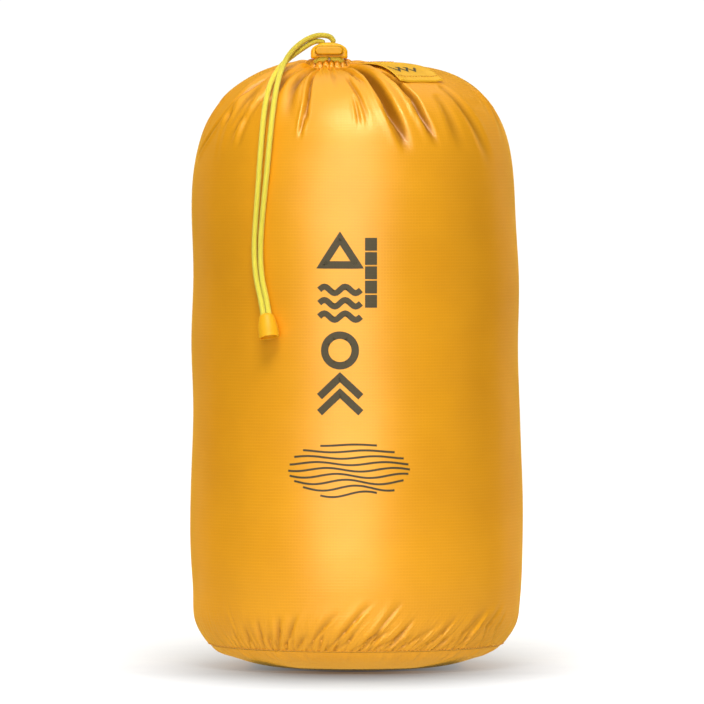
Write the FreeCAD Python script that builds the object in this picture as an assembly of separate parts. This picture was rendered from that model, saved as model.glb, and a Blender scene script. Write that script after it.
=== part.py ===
"""Stuff sack with a drawcord: a round fabric bag, stuffed full and drawn shut, standing on its base.

Millimetres. The origin is the middle of the base where it rests and +Z is up. The cord lock is on the
-Y side of the crown.
"""

import math
import os

import FreeCAD
import Part

Vector = FreeCAD.Vector

# ---- driving dimensions -------------------------------------------------------------------------
FABRIC = 0.7  # thickness of the coated fabric, with its creases
GAP = 0.05  # between pieces that lie face to face
SIDE_R = 94.0  # the body's radius when it is stuffed
CROWN_Z = 346.5  # the top of the stuffed body
SEAM_R = 83.0  # the base seam
SEAM_Z = 12.5
BASE_FLAT_R = 40.0  # the part of the base that rests on the ground

# Half of the body's outline, from the base seam to the crown: (radius, height).
BODY_OUTLINE = [
    (SEAM_R, SEAM_Z),
    (89.0, 23.0),
    (92.0, 36.0),
    (93.8, 62.0),
    (SIDE_R, 115.0),
    (93.0, 200.0),
    (91.8, 262.0),
    (89.6, 286.0),
    (84.6, 308.0),
    (76.0, 323.5),
    (62.0, 335.6),
    (44.0, 343.4),
    (23.0, 346.0),
    (0.0, CROWN_Z),
]

SEAM_TAPE = 0.9  # thickness of the turned-in edges of a seam
SEAM_ALLOWANCE = 7.0  # their height above the base seam
SIDE_SEAM_WIDTH = 10.0
SIDE_SEAM_Z = (SEAM_Z + SEAM_ALLOWANCE + 1.0, 318.0)
THREAD = 0.45  # sewing thread
SIDE_STITCH_X = 3.2  # each row of side stitches from the middle of the seam
CONTENTS_IN = 2.6  # the packed contents lie this far inside the outline

MOUTH = Vector(-15.0, -15.0, 343.5)  # centre of the drawn-up mouth
CHANNEL_R = 8.5  # radius of the ring that the drawn-up hem makes
HEM_R = 3.3  # radius of the hem's own section
MOUTH_HOLE_R = 12.0  # where the body panel ends and the hem begins

CORD_R = 1.5
CORD_PLAY = 0.3  # between the cord and the hem or the lock's holes
CORD_GAP = 5.2  # between the two cords where they go through the lock
CORD_Y = -22.5

LOCK_WIDTH = 20.9
LOCK_BOTTOM = 347.2
LOCK_SIDE_TOP = 351.0  # where its upright sides end and its domed top begins
LOCK_TOP = 356.5
LOCK_FLARE = 2.2  # the wide mouths of the two holes on top, where the tails come out
LOCK_FRONT = -28.0
LOCK_BACK = -11.0
LOCK_EDGE_R = 1.7
LOCK_ARCH = (14.0, 0.9)  # the relief under the lock that the cords run in: width, height
BUTTON_SIZE = (16.0, 5.0)  # width and height of the button's section
BUTTON_PLAY = 0.15
BUTTON_Z = 351.8
BUTTON_OUT = 3.6  # how far the button stands out of the housing
BUTTON_TRAVEL = 3.2
BUTTON_BACK = -17.0
POCKET_BACK = -12.5
SPRING_R = 1.5  # mean radius of the spring
SPRING_WIRE_R = 0.3
SPRING_BORE_R = 1.95
SPRING_SEAT = -19.4  # bottom of the spring's bore in the button
SPRING_TURNS = 5

TAIL_Z = 356.0  # where the tails begin, in the wide mouths of the lock's holes

BELL_TOP = Vector(-50.3, -83.8, 203.1)
BELL_BOTTOM = Vector(-48.5, -87.1, 190.2)
BELL_TOP_R = 3.9
BELL_BOTTOM_R = 5.8
BELL_BULGE = 0.45  # its side stands out from a straight cone by this much half way up
BELL_WALL = 1.0
BELL_HOLE = (6.9, 3.5)  # the oblong hole that both tails go through
TAIL_SPREAD = 1.62  # each tail from the bell's axis
KNOT_R = 3.3
KNOT_AT = 6.3  # the knot's centre above the bell's mouth
KNOT_FLAT = 9.0  # where the tails meet the knot
PLUG_AT = (1.5, 3.5)

LABEL_WIDTH = 30.0
LABEL_LENGTH = 49.0
LABEL_SEWN = Vector(9.0, -11.5, 0.0)  # middle of the sewn edge, seen from above
LABEL_TURN = -54.5  # the way that the label points, in degrees from +X
LABEL_THICK = 0.7
LABEL_CLEAR = 0.45

# ---- the cords' routes ---------------------------------------------------------------------------
LEFT_X = MOUTH.x - CORD_GAP / 2
RIGHT_X = MOUTH.x + CORD_GAP / 2

TAIL_RIGHT = [  # from the lock's right hole, over the left tail, down to the bell
    (RIGHT_X, CORD_Y, TAIL_Z),
    (-12.8, -22.6, 358.4),
    (-15.8, -23.5, 360.4),
    (-22.6, -25.8, 360.6),
    (-30.5, -30.2, 356.8),
    (-37.6, -38.6, 350.0),
    (-41.8, -48.4, 341.6),
    (-44.6, -60.0, 331.4),
    (-46.6, -71.4, 317.6),
    (-48.3, -78.0, 301.0),
    (-50.0, -80.0, 282.0),
    (-52.2, -80.0, 261.0),
    (-53.8, -79.5, 240.0),
    (-52.9, -80.4, 223.0),
    (-49.7, -81.93, 210.4),
]
TAIL_LEFT = [  # from the lock's left hole, behind the right tail, down to the bell
    (LEFT_X, CORD_Y, TAIL_Z),
    (-19.6, -23.4, 357.25),
    (-23.6, -25.4, 357.1),
    (-30.0, -29.4, 353.1),
    (-36.4, -35.0, 348.4),
    (-42.8, -42.0, 342.8),
    (-48.0, -51.4, 334.0),
    (-51.0, -64.8, 321.6),
    (-52.8, -74.2, 304.0),
    (-54.2, -77.6, 284.0),
    (-55.8, -77.6, 262.0),
    (-57.3, -77.0, 241.0),
    (-56.3, -78.4, 224.0),
    (-52.94, -81.93, 210.4),
]


def drawcord_route():
    """Up one side of the lock's cords, round the hem and down to the other, as a list of points."""
    half = []
    for turn in range(60, 181, 30):
        angle = math.radians(turn)
        corner_r = CHANNEL_R / math.cos(math.radians(15)) * 0.99
        half.append((corner_r * math.sin(angle), -corner_r * math.cos(angle), 0.0))
    side = CORD_GAP / 2
    front_y = CORD_Y - MOUTH.y
    riser_top = TAIL_Z - CORD_R - GAP - MOUTH.z
    climb = [(side, front_y, riser_top), (side, front_y, 5.9), (side + 1.1, front_y - 0.2, 2.7)]
    right = climb + half
    left = [(-x, y, z) for x, y, z in right[:-1]]
    return [MOUTH + Vector(*p) for p in right + left[::-1]]


# ---- tools for the shapes ------------------------------------------------------------------------
def smooth(points):
    """A smooth curve through (radius, height) points, in the XZ plane."""
    curve = Part.BSplineCurve()
    curve.interpolate(Points=[Vector(r, 0, z) for r, z in points])
    return curve


def inset(points, depth):
    """The outline's points moved along its inward normal, the last one kept on the axis."""
    curve = smooth(points)
    moved = []
    for r, z in points:
        tangent = curve.tangent(curve.parameter(Vector(r, 0, z)))[0]
        moved.append((r - tangent.z * depth, z + tangent.x * depth))
    moved[-1] = (0.0, points[-1][1] - depth)
    return moved


def turned(edges):
    """A solid of revolution about Z from edges that close a section."""
    face = Part.Face(Part.Wire(Part.__sortEdges__(edges)))
    return face.revolve(Vector(0, 0, 0), Vector(0, 0, 1), 360)


def line(a, b):
    return Part.LineSegment(Vector(a[0], 0, a[1]), Vector(b[0], 0, b[1])).toShape()


def body_shell(outer_in, inner_in):
    """The body's skin between two depths inside its outline. A depth below zero lies outside it."""
    outer = inset(BODY_OUTLINE, outer_in)
    inner = inset(BODY_OUTLINE, inner_in)
    edges = [smooth(outer).toShape(), smooth(inner).toShape()]
    return turned(edges + [line(outer[0], inner[0]), line(outer[-1], inner[-1])])


def cylinder(radius, bottom, top, centre=Vector(0, 0, 0)):
    return Part.makeCylinder(radius, top - bottom, Vector(centre.x, centre.y, bottom), Vector(0, 0, 1))


def oblong_y(width, height, front, back, centre_x, centre_z):
    """A bar along Y with a stadium section."""
    r = height / 2
    half_flat = width / 2 - r
    bar = Part.makeBox(2 * half_flat, back - front, height, Vector(centre_x - half_flat, front, centre_z - r))
    for x in (centre_x - half_flat, centre_x + half_flat):
        bar = bar.fuse(Part.makeCylinder(r, back - front, Vector(x, front, centre_z), Vector(0, 1, 0)))
    return bar.removeSplitter()


def tube(points, radius):
    """A round cord along straight runs joined by tangent arcs, and the arcs' radii."""
    points = [Vector(*p) for p in points]
    edges, radii, start = [], [], points[0]
    for before, corner, after in zip(points, points[1:], points[2:]):
        back, ahead = before - corner, after - corner
        turn = math.pi - back.getAngle(ahead)
        reach = 0.45 * min(back.Length, ahead.Length)
        radii.append(reach / math.tan(turn / 2))
        back.normalize()
        ahead.normalize()
        a, b = corner + back * reach, corner + ahead * reach
        bisector = (back + ahead).normalize()
        to_arc = radii[-1] / math.cos(turn / 2) - radii[-1]
        edges.append(Part.LineSegment(start, a).toShape())
        edges.append(Part.Arc(a, corner + bisector * to_arc, b).toShape())
        start = b
    edges.append(Part.LineSegment(start, points[-1]).toShape())
    path = Part.Wire(edges)
    section = Part.Wire(Part.makeCircle(radius, points[0], points[1] - points[0]))
    solid = path.makePipeShell([section], True, False)
    return solid, radii, path.Length


def report_tube(name, solid, radii, length, radius):
    ratio = solid.Volume / (math.pi * radius**2 * length)
    listed = " ".join(f"{r:.1f}" for r in radii)
    print(f"{name}: length {length:.1f}, volume over section times length {ratio:.4f}, radii {listed}")


def along_axis(shape, foot, tip):
    """Moves a shape that was made upright at the origin so that it points from foot to tip."""
    shape.Placement = FreeCAD.Placement(foot, FreeCAD.Rotation(Vector(0, 0, 1), tip - foot))
    return shape


# ---- the sack ------------------------------------------------------------------------------------
def mouth_cylinder(radius):
    return cylinder(radius, MOUTH.z - 8, MOUTH.z + 12, MOUTH)


def body_panel():
    return body_shell(0, FABRIC).cut(mouth_cylinder(MOUTH_HOLE_R))


def base_section(depth, reach=1.0):
    """Half of the base's outline at a depth inside it: the flat middle, then an arc up to the seam.
    A reach below 1 ends the arc short of the seam."""
    rise, run = SEAM_Z - FABRIC, SEAM_R - BASE_FLAT_R
    arc_r = (run**2 + rise**2) / (2 * rise)
    centre_z = arc_r
    sweep = math.asin(run / arc_r)

    def on_arc(share):
        angle = sweep * share
        r = arc_r - depth
        return (BASE_FLAT_R + r * math.sin(angle), centre_z - r * math.cos(angle))

    return (0.0, depth), (BASE_FLAT_R, depth), on_arc(reach / 2), on_arc(reach)


def base_panel():
    outer, inner = base_section(0), base_section(FABRIC)
    edges = [line(outer[0], inner[0]), line(outer[3], inner[3])]
    for middle, flat_end, mid, end in (outer, inner):
        edges.append(line(middle, flat_end))
        edges.append(Part.Arc(*[Vector(r, 0, z) for r, z in (flat_end, mid, end)]).toShape())
    return turned(edges)


def base_seam_allowance():
    band = body_shell(FABRIC + GAP, FABRIC + GAP + SEAM_TAPE)
    return band.common(cylinder(SIDE_R + 10, SEAM_Z + 1, SEAM_Z + SEAM_ALLOWANCE))


def base_seam_stitching():
    row = Part.makeTorus(SEAM_R + THREAD / 2 + 0.6, THREAD / 2)
    return row.translate(Vector(0, 0, SEAM_Z + 1.0))


def back_strip(width, centre_x, low, high):
    return Part.makeBox(width, SIDE_R + 20, high - low, Vector(centre_x - width / 2, 10, low))


def side_seam():
    skin = body_shell(FABRIC + GAP, FABRIC + GAP + SEAM_TAPE)
    return skin.common(back_strip(SIDE_SEAM_WIDTH, 0, *SIDE_SEAM_Z))


def side_seam_stitching():
    skin = body_shell(-GAP - THREAD, -GAP)
    rows = [skin.common(back_strip(THREAD, side * SIDE_STITCH_X, *SIDE_SEAM_Z)) for side in (-1, 1)]
    return Part.makeCompound(rows)


def packed_contents():
    outline = inset(BODY_OUTLINE, CONTENTS_IN)
    base = base_section(FABRIC + 0.3, 0.94)
    edges = [smooth(outline).toShape(), line(base[0], base[1]), line((0.0, base[0][1]), outline[-1])]
    edges.append(Part.Arc(*[Vector(r, 0, z) for r, z in base[1:]]).toShape())
    edges.append(line(base[3], outline[0]))
    return turned(edges).cut(cylinder(MOUTH_HOLE_R + 1.5, MOUTH.z - HEM_R - 2.5, CROWN_Z + 5, MOUTH))


# ---- the mouth -----------------------------------------------------------------------------------
def drawcord_in_channel():
    solid, radii, length = tube(drawcord_route(), CORD_R)
    report_tube("drawcord_in_channel", solid, radii, length, CORD_R)
    return solid


def drawcord_channel():
    ring = Part.makeTorus(CHANNEL_R, HEM_R, MOUTH, Vector(0, 0, 1))
    passage = tube(drawcord_route(), CORD_R + CORD_PLAY)[0]
    return ring.cut(passage)


def channel_stitching():
    skin = body_shell(-GAP - THREAD, -GAP)
    ring = mouth_cylinder(MOUTH_HOLE_R + 0.3 + THREAD).cut(mouth_cylinder(MOUTH_HOLE_R + 0.3))
    return skin.common(ring)


def exit_bartacks():
    """The two bars of stitching where the hem ends and the cord comes out of it."""
    skin = Part.makeTorus(CHANNEL_R, HEM_R + GAP + THREAD, MOUTH, Vector(0, 0, 1))
    skin = skin.cut(Part.makeTorus(CHANNEL_R, HEM_R + GAP, MOUTH, Vector(0, 0, 1)))
    bars = []
    for side in (-1, 1):
        bar = Part.makeBox(1.0, 2.4, 2.8, Vector(-0.5, -CHANNEL_R - 3.2, 0.5))
        bar.rotate(Vector(0, 0, 0), Vector(0, 0, 1), side * 74)
        bar.translate(MOUTH)
        bars.append(skin.common(bar))
    return Part.makeCompound(bars)


# ---- the cord lock -------------------------------------------------------------------------------
def cord_hole(x, radius, bottom, top):
    return cylinder(radius, bottom, top, Vector(x, CORD_Y, 0))


def lock_housing():
    """A block with upright sides and a domed top, hollow in front for the button."""
    half = LOCK_WIDTH / 2
    spring_line = Vector(MOUTH.x, LOCK_FRONT, LOCK_SIDE_TOP)
    right, left = spring_line + Vector(half, 0, 0), spring_line - Vector(half, 0, 0)
    dome = Part.Ellipse(right, Vector(MOUTH.x, LOCK_FRONT, LOCK_TOP), spring_line)
    drop = Vector(0, 0, LOCK_BOTTOM - LOCK_SIDE_TOP)
    corners = [left, left + drop, right + drop, right]
    sides = [Part.LineSegment(a, b).toShape() for a, b in zip(corners, corners[1:])]
    section = Part.Face(Part.Wire([Part.ArcOfEllipse(dome, 0, math.pi).toShape()] + sides))
    body = section.extrude(Vector(0, LOCK_BACK - LOCK_FRONT, 0))
    low_edges = [e for e in body.Edges if e.BoundBox.ZMax < LOCK_BOTTOM + 0.01 and e.BoundBox.XLength < 0.01]
    body = body.makeFillet(1.0, low_edges)
    rims = [e for e in body.Edges if abs(e.BoundBox.YLength) < 0.01]
    body = body.makeFillet(LOCK_EDGE_R, rims)
    pocket = oblong_y(
        BUTTON_SIZE[0] + 2 * BUTTON_PLAY,
        BUTTON_SIZE[1] + 2 * BUTTON_PLAY,
        LOCK_FRONT - 5,
        POCKET_BACK,
        MOUTH.x,
        BUTTON_Z,
    )
    arch_width, arch_height = LOCK_ARCH
    arch = oblong_y(arch_width, 2 * arch_height, LOCK_FRONT - 5, CORD_Y + 3.5, MOUTH.x, LOCK_BOTTOM)
    body = body.cut(pocket).cut(arch)
    hole_r = CORD_R + CORD_PLAY
    for x in (LEFT_X, RIGHT_X):
        body = body.cut(cord_hole(x, hole_r, LOCK_BOTTOM - 5, LOCK_TOP + 5))
        funnel_foot = Vector(x, CORD_Y, LOCK_TOP - LOCK_FLARE)
        body = body.cut(Part.makeCone(hole_r, hole_r + LOCK_FLARE, LOCK_FLARE, funnel_foot, Vector(0, 0, 1)))
        under_top = Vector(x, CORD_Y, LOCK_BOTTOM + arch_height + 1.0)
        body = body.cut(Part.makeCone(hole_r, hole_r + 2, 2, under_top, Vector(0, 0, -1)))
    return body


def lock_button():
    nose_front = LOCK_FRONT - BUTTON_OUT
    bar = oblong_y(*BUTTON_SIZE, nose_front, BUTTON_BACK, MOUTH.x, BUTTON_Z)
    front_rim = [e for e in bar.Edges if e.BoundBox.YMax < nose_front + 0.01]
    bar = bar.makeFillet(1.2, front_rim)
    slot_back = CORD_Y + CORD_R + GAP
    slot_front = CORD_Y - CORD_R - BUTTON_TRAVEL - CORD_PLAY
    slot_r = CORD_R + CORD_PLAY
    for x in (LEFT_X, RIGHT_X):
        for y in (slot_front + slot_r, slot_back - slot_r):
            bar = bar.cut(cylinder(slot_r, BUTTON_Z - 5, BUTTON_Z + 5, Vector(x, y, 0)))
        length = slot_back - slot_front - 2 * slot_r
        corner = Vector(x - slot_r, slot_front + slot_r, BUTTON_Z - 5)
        bar = bar.cut(Part.makeBox(2 * slot_r, length, 10, corner))
    bore = Part.makeCylinder(SPRING_BORE_R, 10, Vector(MOUTH.x, SPRING_SEAT, BUTTON_Z), Vector(0, 1, 0))
    return bar.cut(bore)


def lock_spring():
    """A coil along Y, as short arcs: twelve to the turn."""
    low, high = SPRING_SEAT + SPRING_WIRE_R + GAP, POCKET_BACK - SPRING_WIRE_R - GAP
    steps = 12 * SPRING_TURNS
    coil = []
    for k in range(steps + 1):
        angle = 2 * math.pi * k / 12
        x, z = SPRING_R * math.cos(angle), SPRING_R * math.sin(angle)
        coil.append((MOUTH.x + x, low + (high - low) * k / steps, BUTTON_Z + z))
    solid, radii, length = tube(coil, SPRING_WIRE_R)
    report_tube("lock_spring", solid, radii[:3], length, SPRING_WIRE_R)
    return solid


# ---- the tails and what is on them ---------------------------------------------------------------
def bell_point(x, height):
    """A point in the bell's own frame: x across it and height above its open mouth."""
    axis = (BELL_TOP - BELL_BOTTOM).normalize()
    across = (Vector(1, 0, 0) - axis * axis.x).normalize()
    return BELL_BOTTOM + axis * height + across * x


def bell_height():
    return (BELL_TOP - BELL_BOTTOM).Length


def tail(name, route, side):
    """A tail with a round start, so that it can swing in the lock's hole, and its end on the knot."""
    end = bell_point(side * TAIL_SPREAD, KNOT_FLAT + GAP)
    solid, radii, length = tube(route + [tuple(end)], CORD_R)
    report_tube(name, solid, radii, length, CORD_R)
    return solid.fuse(Part.makeSphere(CORD_R, Vector(*route[0])))


def cord_end_bell():
    top = bell_height()
    corner = 1.4
    low_r, high_r = BELL_BOTTOM_R, BELL_TOP_R + 0.3
    outer = [(low_r, 0), (low_r, 1.2), (high_r, top - corner), (BELL_TOP_R - corner, top)]
    inner = [(low_r - BELL_WALL, 0), (low_r - BELL_WALL, 3.6), (BELL_TOP_R - 0.5, top - 2.6)]
    side = Part.Arc(
        Vector(low_r, 0, 1.2),
        Vector((low_r + high_r) / 2 + BELL_BULGE, 0, (1.2 + top - corner) / 2),
        Vector(high_r, 0, top - corner),
    ).toShape()
    shoulder = Part.Arc(
        Vector(outer[2][0], 0, outer[2][1]),
        Vector(BELL_TOP_R - 0.3, 0, top - 0.5),
        Vector(outer[3][0], 0, top),
    ).toShape()
    edges = [line(outer[0], outer[1]), side, shoulder, line(outer[3], (0, top))]
    edges += [line((0, top), (0, inner[2][1])), line((0, inner[2][1]), inner[2])]
    edges += [line(inner[2], inner[1]), line(inner[1], inner[0]), line(inner[0], outer[0])]
    shell = turned(edges)
    length, width = BELL_HOLE
    hole = Part.makeBox(length - width, width, 8, Vector(-(length - width) / 2, -width / 2, top - 5))
    for side in (-1, 1):
        hole = hole.fuse(cylinder(width / 2, top - 5, top + 3, Vector(side * (length - width) / 2, 0, 0)))
    return along_axis(shell.cut(hole), BELL_BOTTOM, BELL_TOP)


def cord_end_plug():
    low, high = PLUG_AT
    radius = BELL_BOTTOM_R - BELL_WALL - GAP
    plug = cylinder(radius, low, high).cut(cylinder(radius - 1.2, low - 1, low + 0.8))
    return along_axis(plug, BELL_BOTTOM, BELL_TOP)


def cord_end_knot():
    ball = Part.makeSphere(KNOT_R, Vector(0, 0, KNOT_AT))
    up = Vector(0, 0, 1)
    turns = [Part.makeTorus(KNOT_R - 1.3, CORD_R, up * (KNOT_AT + shift), up) for shift in (-0.9, 0.9)]
    knot = ball.fuse(turns).common(cylinder(KNOT_R + 2, PLUG_AT[1] + GAP, KNOT_FLAT))
    return along_axis(knot, BELL_BOTTOM, BELL_TOP)


# ---- the label -----------------------------------------------------------------------------------
def label_prism(start, end, width):
    """An upright block over part of the label, from start to end along its length."""
    block = Part.makeBox(end - start, width, 60, Vector(start, -width / 2, CROWN_Z - 45))
    block.rotate(Vector(0, 0, 0), Vector(0, 0, 1), LABEL_TURN)
    return block.translate(LABEL_SEWN)


def label():
    skin = body_shell(-LABEL_CLEAR - LABEL_THICK, -LABEL_CLEAR)
    return skin.common(label_prism(0, LABEL_LENGTH, LABEL_WIDTH))


def label_stitching():
    lift = LABEL_CLEAR + LABEL_THICK + GAP
    skin = body_shell(-lift - THREAD, -lift)
    rows = [skin.common(label_prism(at, at + THREAD, LABEL_WIDTH - 2)) for at in (1.5, 3.5)]
    return Part.makeCompound(rows)


SUBPARTS = {
    "body_panel": body_panel,
    "base_panel": base_panel,
    "base_seam_allowance": base_seam_allowance,
    "base_seam_stitching": base_seam_stitching,
    "side_seam": side_seam,
    "side_seam_stitching": side_seam_stitching,
    "packed_contents": packed_contents,
    "drawcord_channel": drawcord_channel,
    "channel_stitching": channel_stitching,
    "exit_bartacks": exit_bartacks,
    "drawcord_in_channel": drawcord_in_channel,
    "lock_housing": lock_housing,
    "lock_button": lock_button,
    "lock_spring": lock_spring,
    "drawcord_tail_left": lambda: tail("drawcord_tail_left", TAIL_LEFT, -1),
    "drawcord_tail_right": lambda: tail("drawcord_tail_right", TAIL_RIGHT, 1),
    "cord_end_bell": cord_end_bell,
    "cord_end_plug": cord_end_plug,
    "cord_end_knot": cord_end_knot,
    "label": label,
    "label_stitching": label_stitching,
}


os.makedirs("parts", exist_ok=True)
for node, make in SUBPARTS.items():
    make().exportStep(f"parts/{node}.step")
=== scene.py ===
"""The looks of a stuffed, drawn-shut stuff sack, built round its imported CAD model.

Metres, +Z up. The cord lock and the print are on the -Y side. MM turns a size given in millimetres into metres.
"""

import math
from contextlib import contextmanager
from functools import partialmethod

import bmesh
import bpy
import numpy as np
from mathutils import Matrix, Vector


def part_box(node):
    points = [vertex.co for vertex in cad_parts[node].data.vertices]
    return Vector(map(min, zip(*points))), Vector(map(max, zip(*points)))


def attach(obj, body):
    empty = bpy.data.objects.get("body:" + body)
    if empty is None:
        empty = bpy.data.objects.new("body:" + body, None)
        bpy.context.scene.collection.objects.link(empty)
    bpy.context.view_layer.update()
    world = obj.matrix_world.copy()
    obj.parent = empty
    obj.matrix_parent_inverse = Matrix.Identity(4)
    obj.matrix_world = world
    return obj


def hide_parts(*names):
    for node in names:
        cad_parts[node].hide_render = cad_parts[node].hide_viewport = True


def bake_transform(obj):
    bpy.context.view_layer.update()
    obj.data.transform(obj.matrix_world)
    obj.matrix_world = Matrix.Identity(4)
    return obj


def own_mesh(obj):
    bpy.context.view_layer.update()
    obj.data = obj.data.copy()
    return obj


MM = 0.001
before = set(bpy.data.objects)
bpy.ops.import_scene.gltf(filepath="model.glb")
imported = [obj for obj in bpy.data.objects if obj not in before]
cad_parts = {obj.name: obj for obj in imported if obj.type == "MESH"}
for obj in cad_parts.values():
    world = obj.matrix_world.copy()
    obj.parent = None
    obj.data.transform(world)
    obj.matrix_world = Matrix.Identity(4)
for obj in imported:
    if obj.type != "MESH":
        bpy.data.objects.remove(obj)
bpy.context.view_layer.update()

# ---- sizes shared with the CAD model -------------------------------------------------------------
BODY_OUTLINE = [  # half of the body's outline, from the base seam to the crown: (radius, height)
    (0.0830, 0.0125), (0.0890, 0.0230), (0.0920, 0.0360), (0.0938, 0.0620), (0.0940, 0.1150),
    (0.0930, 0.2000), (0.0918, 0.2620), (0.0896, 0.2860), (0.0846, 0.3080), (0.0760, 0.3235),
    (0.0620, 0.3356), (0.0440, 0.3434), (0.0230, 0.3460), (0.0000, 0.3465),
]
SEAM_R, SEAM_Z = BODY_OUTLINE[0]
BASE_FLAT_R = 0.040
FLAT_R = 0.094  # radius of the body panel's tube before it is gathered
BASE_DISC_R = SEAM_R + 1.5 * MM  # radius of the base panel, laid flat
MOUTH = Vector((-0.015, -0.015, 0.3435))
CHANNEL_R = 0.0085
CORD_R = 0.0015
FRONT = -math.pi / 2
BACK = math.pi / 2

TAIL_RIGHT = [
    (-0.0124, -0.0225, 0.3560), (-0.0128, -0.0226, 0.3584), (-0.0158, -0.0235, 0.3604), (-0.0226, -0.0258, 0.3606),
    (-0.0305, -0.0302, 0.3568), (-0.0376, -0.0386, 0.3500), (-0.0418, -0.0484, 0.3416), (-0.0446, -0.0600, 0.3314),
    (-0.0466, -0.0714, 0.3176), (-0.0483, -0.0780, 0.3010), (-0.0500, -0.0800, 0.2820), (-0.0522, -0.0800, 0.2610),
    (-0.0538, -0.0795, 0.2400), (-0.0529, -0.0804, 0.2230), (-0.0497, -0.08193, 0.2104), (-0.0481, -0.0849, 0.1988),
]
TAIL_LEFT = [
    (-0.0176, -0.0225, 0.3560), (-0.0196, -0.0234, 0.35725), (-0.0236, -0.0254, 0.3571), (-0.0300, -0.0294, 0.3531),
    (-0.0364, -0.0350, 0.3484), (-0.0428, -0.0420, 0.3428), (-0.0480, -0.0514, 0.3340), (-0.0510, -0.0648, 0.3216),
    (-0.0528, -0.0742, 0.3040), (-0.0542, -0.0776, 0.2840), (-0.0558, -0.0776, 0.2620), (-0.0573, -0.0770, 0.2410),
    (-0.0563, -0.0784, 0.2240), (-0.05294, -0.08193, 0.2104), (-0.0513, -0.0849, 0.1988),
]

# ---- mesh density --------------------------------------------------------------------------------
COLUMNS = 460
BASE_STEP, WALL_STEP, TOP_STEP = 1.0 * MM, 7.0 * MM, 0.95 * MM


# ---- small tools ---------------------------------------------------------------------------------
def smoothstep(a, b, x):
    t = np.clip((np.asarray(x, float) - a) / (b - a), 0, 1)
    return t * t * (3 - 2 * t)


def wrapped(angle):
    """The same angle between -pi and pi."""
    return (angle + math.pi) % (2 * math.pi) - math.pi


def polar(r, theta, z):
    """Places at a radius, an angle round Z and a height."""
    return np.stack(np.broadcast_arrays(r * np.cos(theta), r * np.sin(theta), z), -1)


def gauss(x):
    return np.exp(-(x**2))


def run_length(path):
    """The distance along a path at each of its points."""
    return np.r_[0, np.cumsum(np.linalg.norm(np.diff(path, axis=0), axis=1))]


def sampled(path, run, at):
    """Places at the distances at along a path, given the distance at each of its points."""
    return np.stack([np.interp(at, run, path[:, c]) for c in range(path.shape[1])], -1)


def through(points, count=1600):
    """Points along a natural cubic spline through the given points, and the arc length at each."""
    pts = np.array(points, float)
    t = run_length(pts)
    h, n = np.diff(t), len(t)
    system, right = np.eye(n), np.zeros((n, pts.shape[1]))
    for k in range(1, n - 1):
        system[k, k - 1 : k + 2] = h[k - 1], 2 * (h[k - 1] + h[k]), h[k]
        right[k] = 6 * ((pts[k + 1] - pts[k]) / h[k] - (pts[k] - pts[k - 1]) / h[k - 1])
    bend = np.linalg.solve(system, right)
    at = np.linspace(0, t[-1], count)
    k = np.clip(np.searchsorted(t, at, side="right") - 1, 0, n - 2)
    a, b, hk = (t[k + 1] - at)[:, None], (at - t[k])[:, None], h[k][:, None]
    curve = (bend[k] * a**3 + bend[k + 1] * b**3) / (6 * hk)
    curve += (pts[k] / hk - bend[k] * hk / 6) * a + (pts[k + 1] / hk - bend[k + 1] * hk / 6) * b
    return curve, run_length(curve)


def normalised(v):
    return v / np.maximum(np.linalg.norm(v, axis=-1, keepdims=True), 1e-12)


def link(name, mesh):
    piece = bpy.data.objects.new(name, mesh)
    bpy.context.scene.collection.objects.link(piece)
    return piece


def mesh_piece(name, verts, faces):
    mesh = bpy.data.meshes.new(name)
    mesh.from_pydata([tuple(v) for v in np.asarray(verts, float).tolist()], [], [tuple(f) for f in faces])
    mesh.validate()
    mesh.polygons.foreach_set("use_smooth", [True] * len(mesh.polygons))
    mesh.update()
    return link(name, mesh)


def grid_faces(rows, cols, closed):
    """Quads of a grid whose vertices run row by row. A closed grid joins its last column to its first."""
    j, i = np.meshgrid(np.arange(rows - 1), np.arange(cols if closed else cols - 1), indexing="ij")
    k = (i + 1) % cols
    return np.stack([j * cols + i, j * cols + k, (j + 1) * cols + k, (j + 1) * cols + i], axis=-1).reshape(-1, 4)


def capped_tube(rows, cols):
    """Faces of a grid that goes round, with its first and last rows closed."""
    ends = [list(range(cols))[::-1], [(rows - 1) * cols + k for k in range(cols)]]
    return grid_faces(rows, cols, True).tolist() + ends


def map_cloth(piece, values):
    """Gives a piece its cloth map: two lengths in metres for each corner of each face."""
    layer = piece.data.uv_layers.new(name="cloth")
    layer.data.foreach_set("uv", values.reshape(-1).astype(np.float32))


def map_vertices(piece, flat):
    """A cloth map from one flat place for each vertex."""
    index = np.zeros(len(piece.data.loops), int)
    piece.data.loops.foreach_get("vertex_index", index)
    map_cloth(piece, flat[index])


def round_piece(name, points, u, v):
    """A piece from rows of points that each go round. Its cloth map, u and v, has one more column."""
    rows, cols = points.shape[:2]
    piece = mesh_piece(name, points.reshape(-1, 3), grid_faces(rows, cols, True).tolist())
    j, i = np.meshgrid(np.arange(rows - 1), np.arange(cols), indexing="ij")
    u, v = np.broadcast_to(u, (rows, cols + 1)), np.broadcast_to(v, (rows, cols + 1))
    corners = [(j, i), (j, i + 1), (j + 1, i + 1), (j + 1, i)]
    map_cloth(piece, np.stack([np.stack([u[corner], v[corner]], -1) for corner in corners], axis=2))
    return piece


@contextmanager
def edited(piece):
    """The piece's mesh, open for new faces."""
    mesh = bmesh.new()
    mesh.from_mesh(piece.data)
    mesh.verts.ensure_lookup_table()
    yield mesh
    mesh.to_mesh(piece.data)
    mesh.free()


def grid_normals(points):
    """Unit normals of a grid whose columns go round anticlockwise and whose rows go up: they point outwards."""
    across = np.roll(points, -1, axis=1) - np.roll(points, 1, axis=1)
    return normalised(np.cross(across, np.gradient(points, axis=0)))


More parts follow.
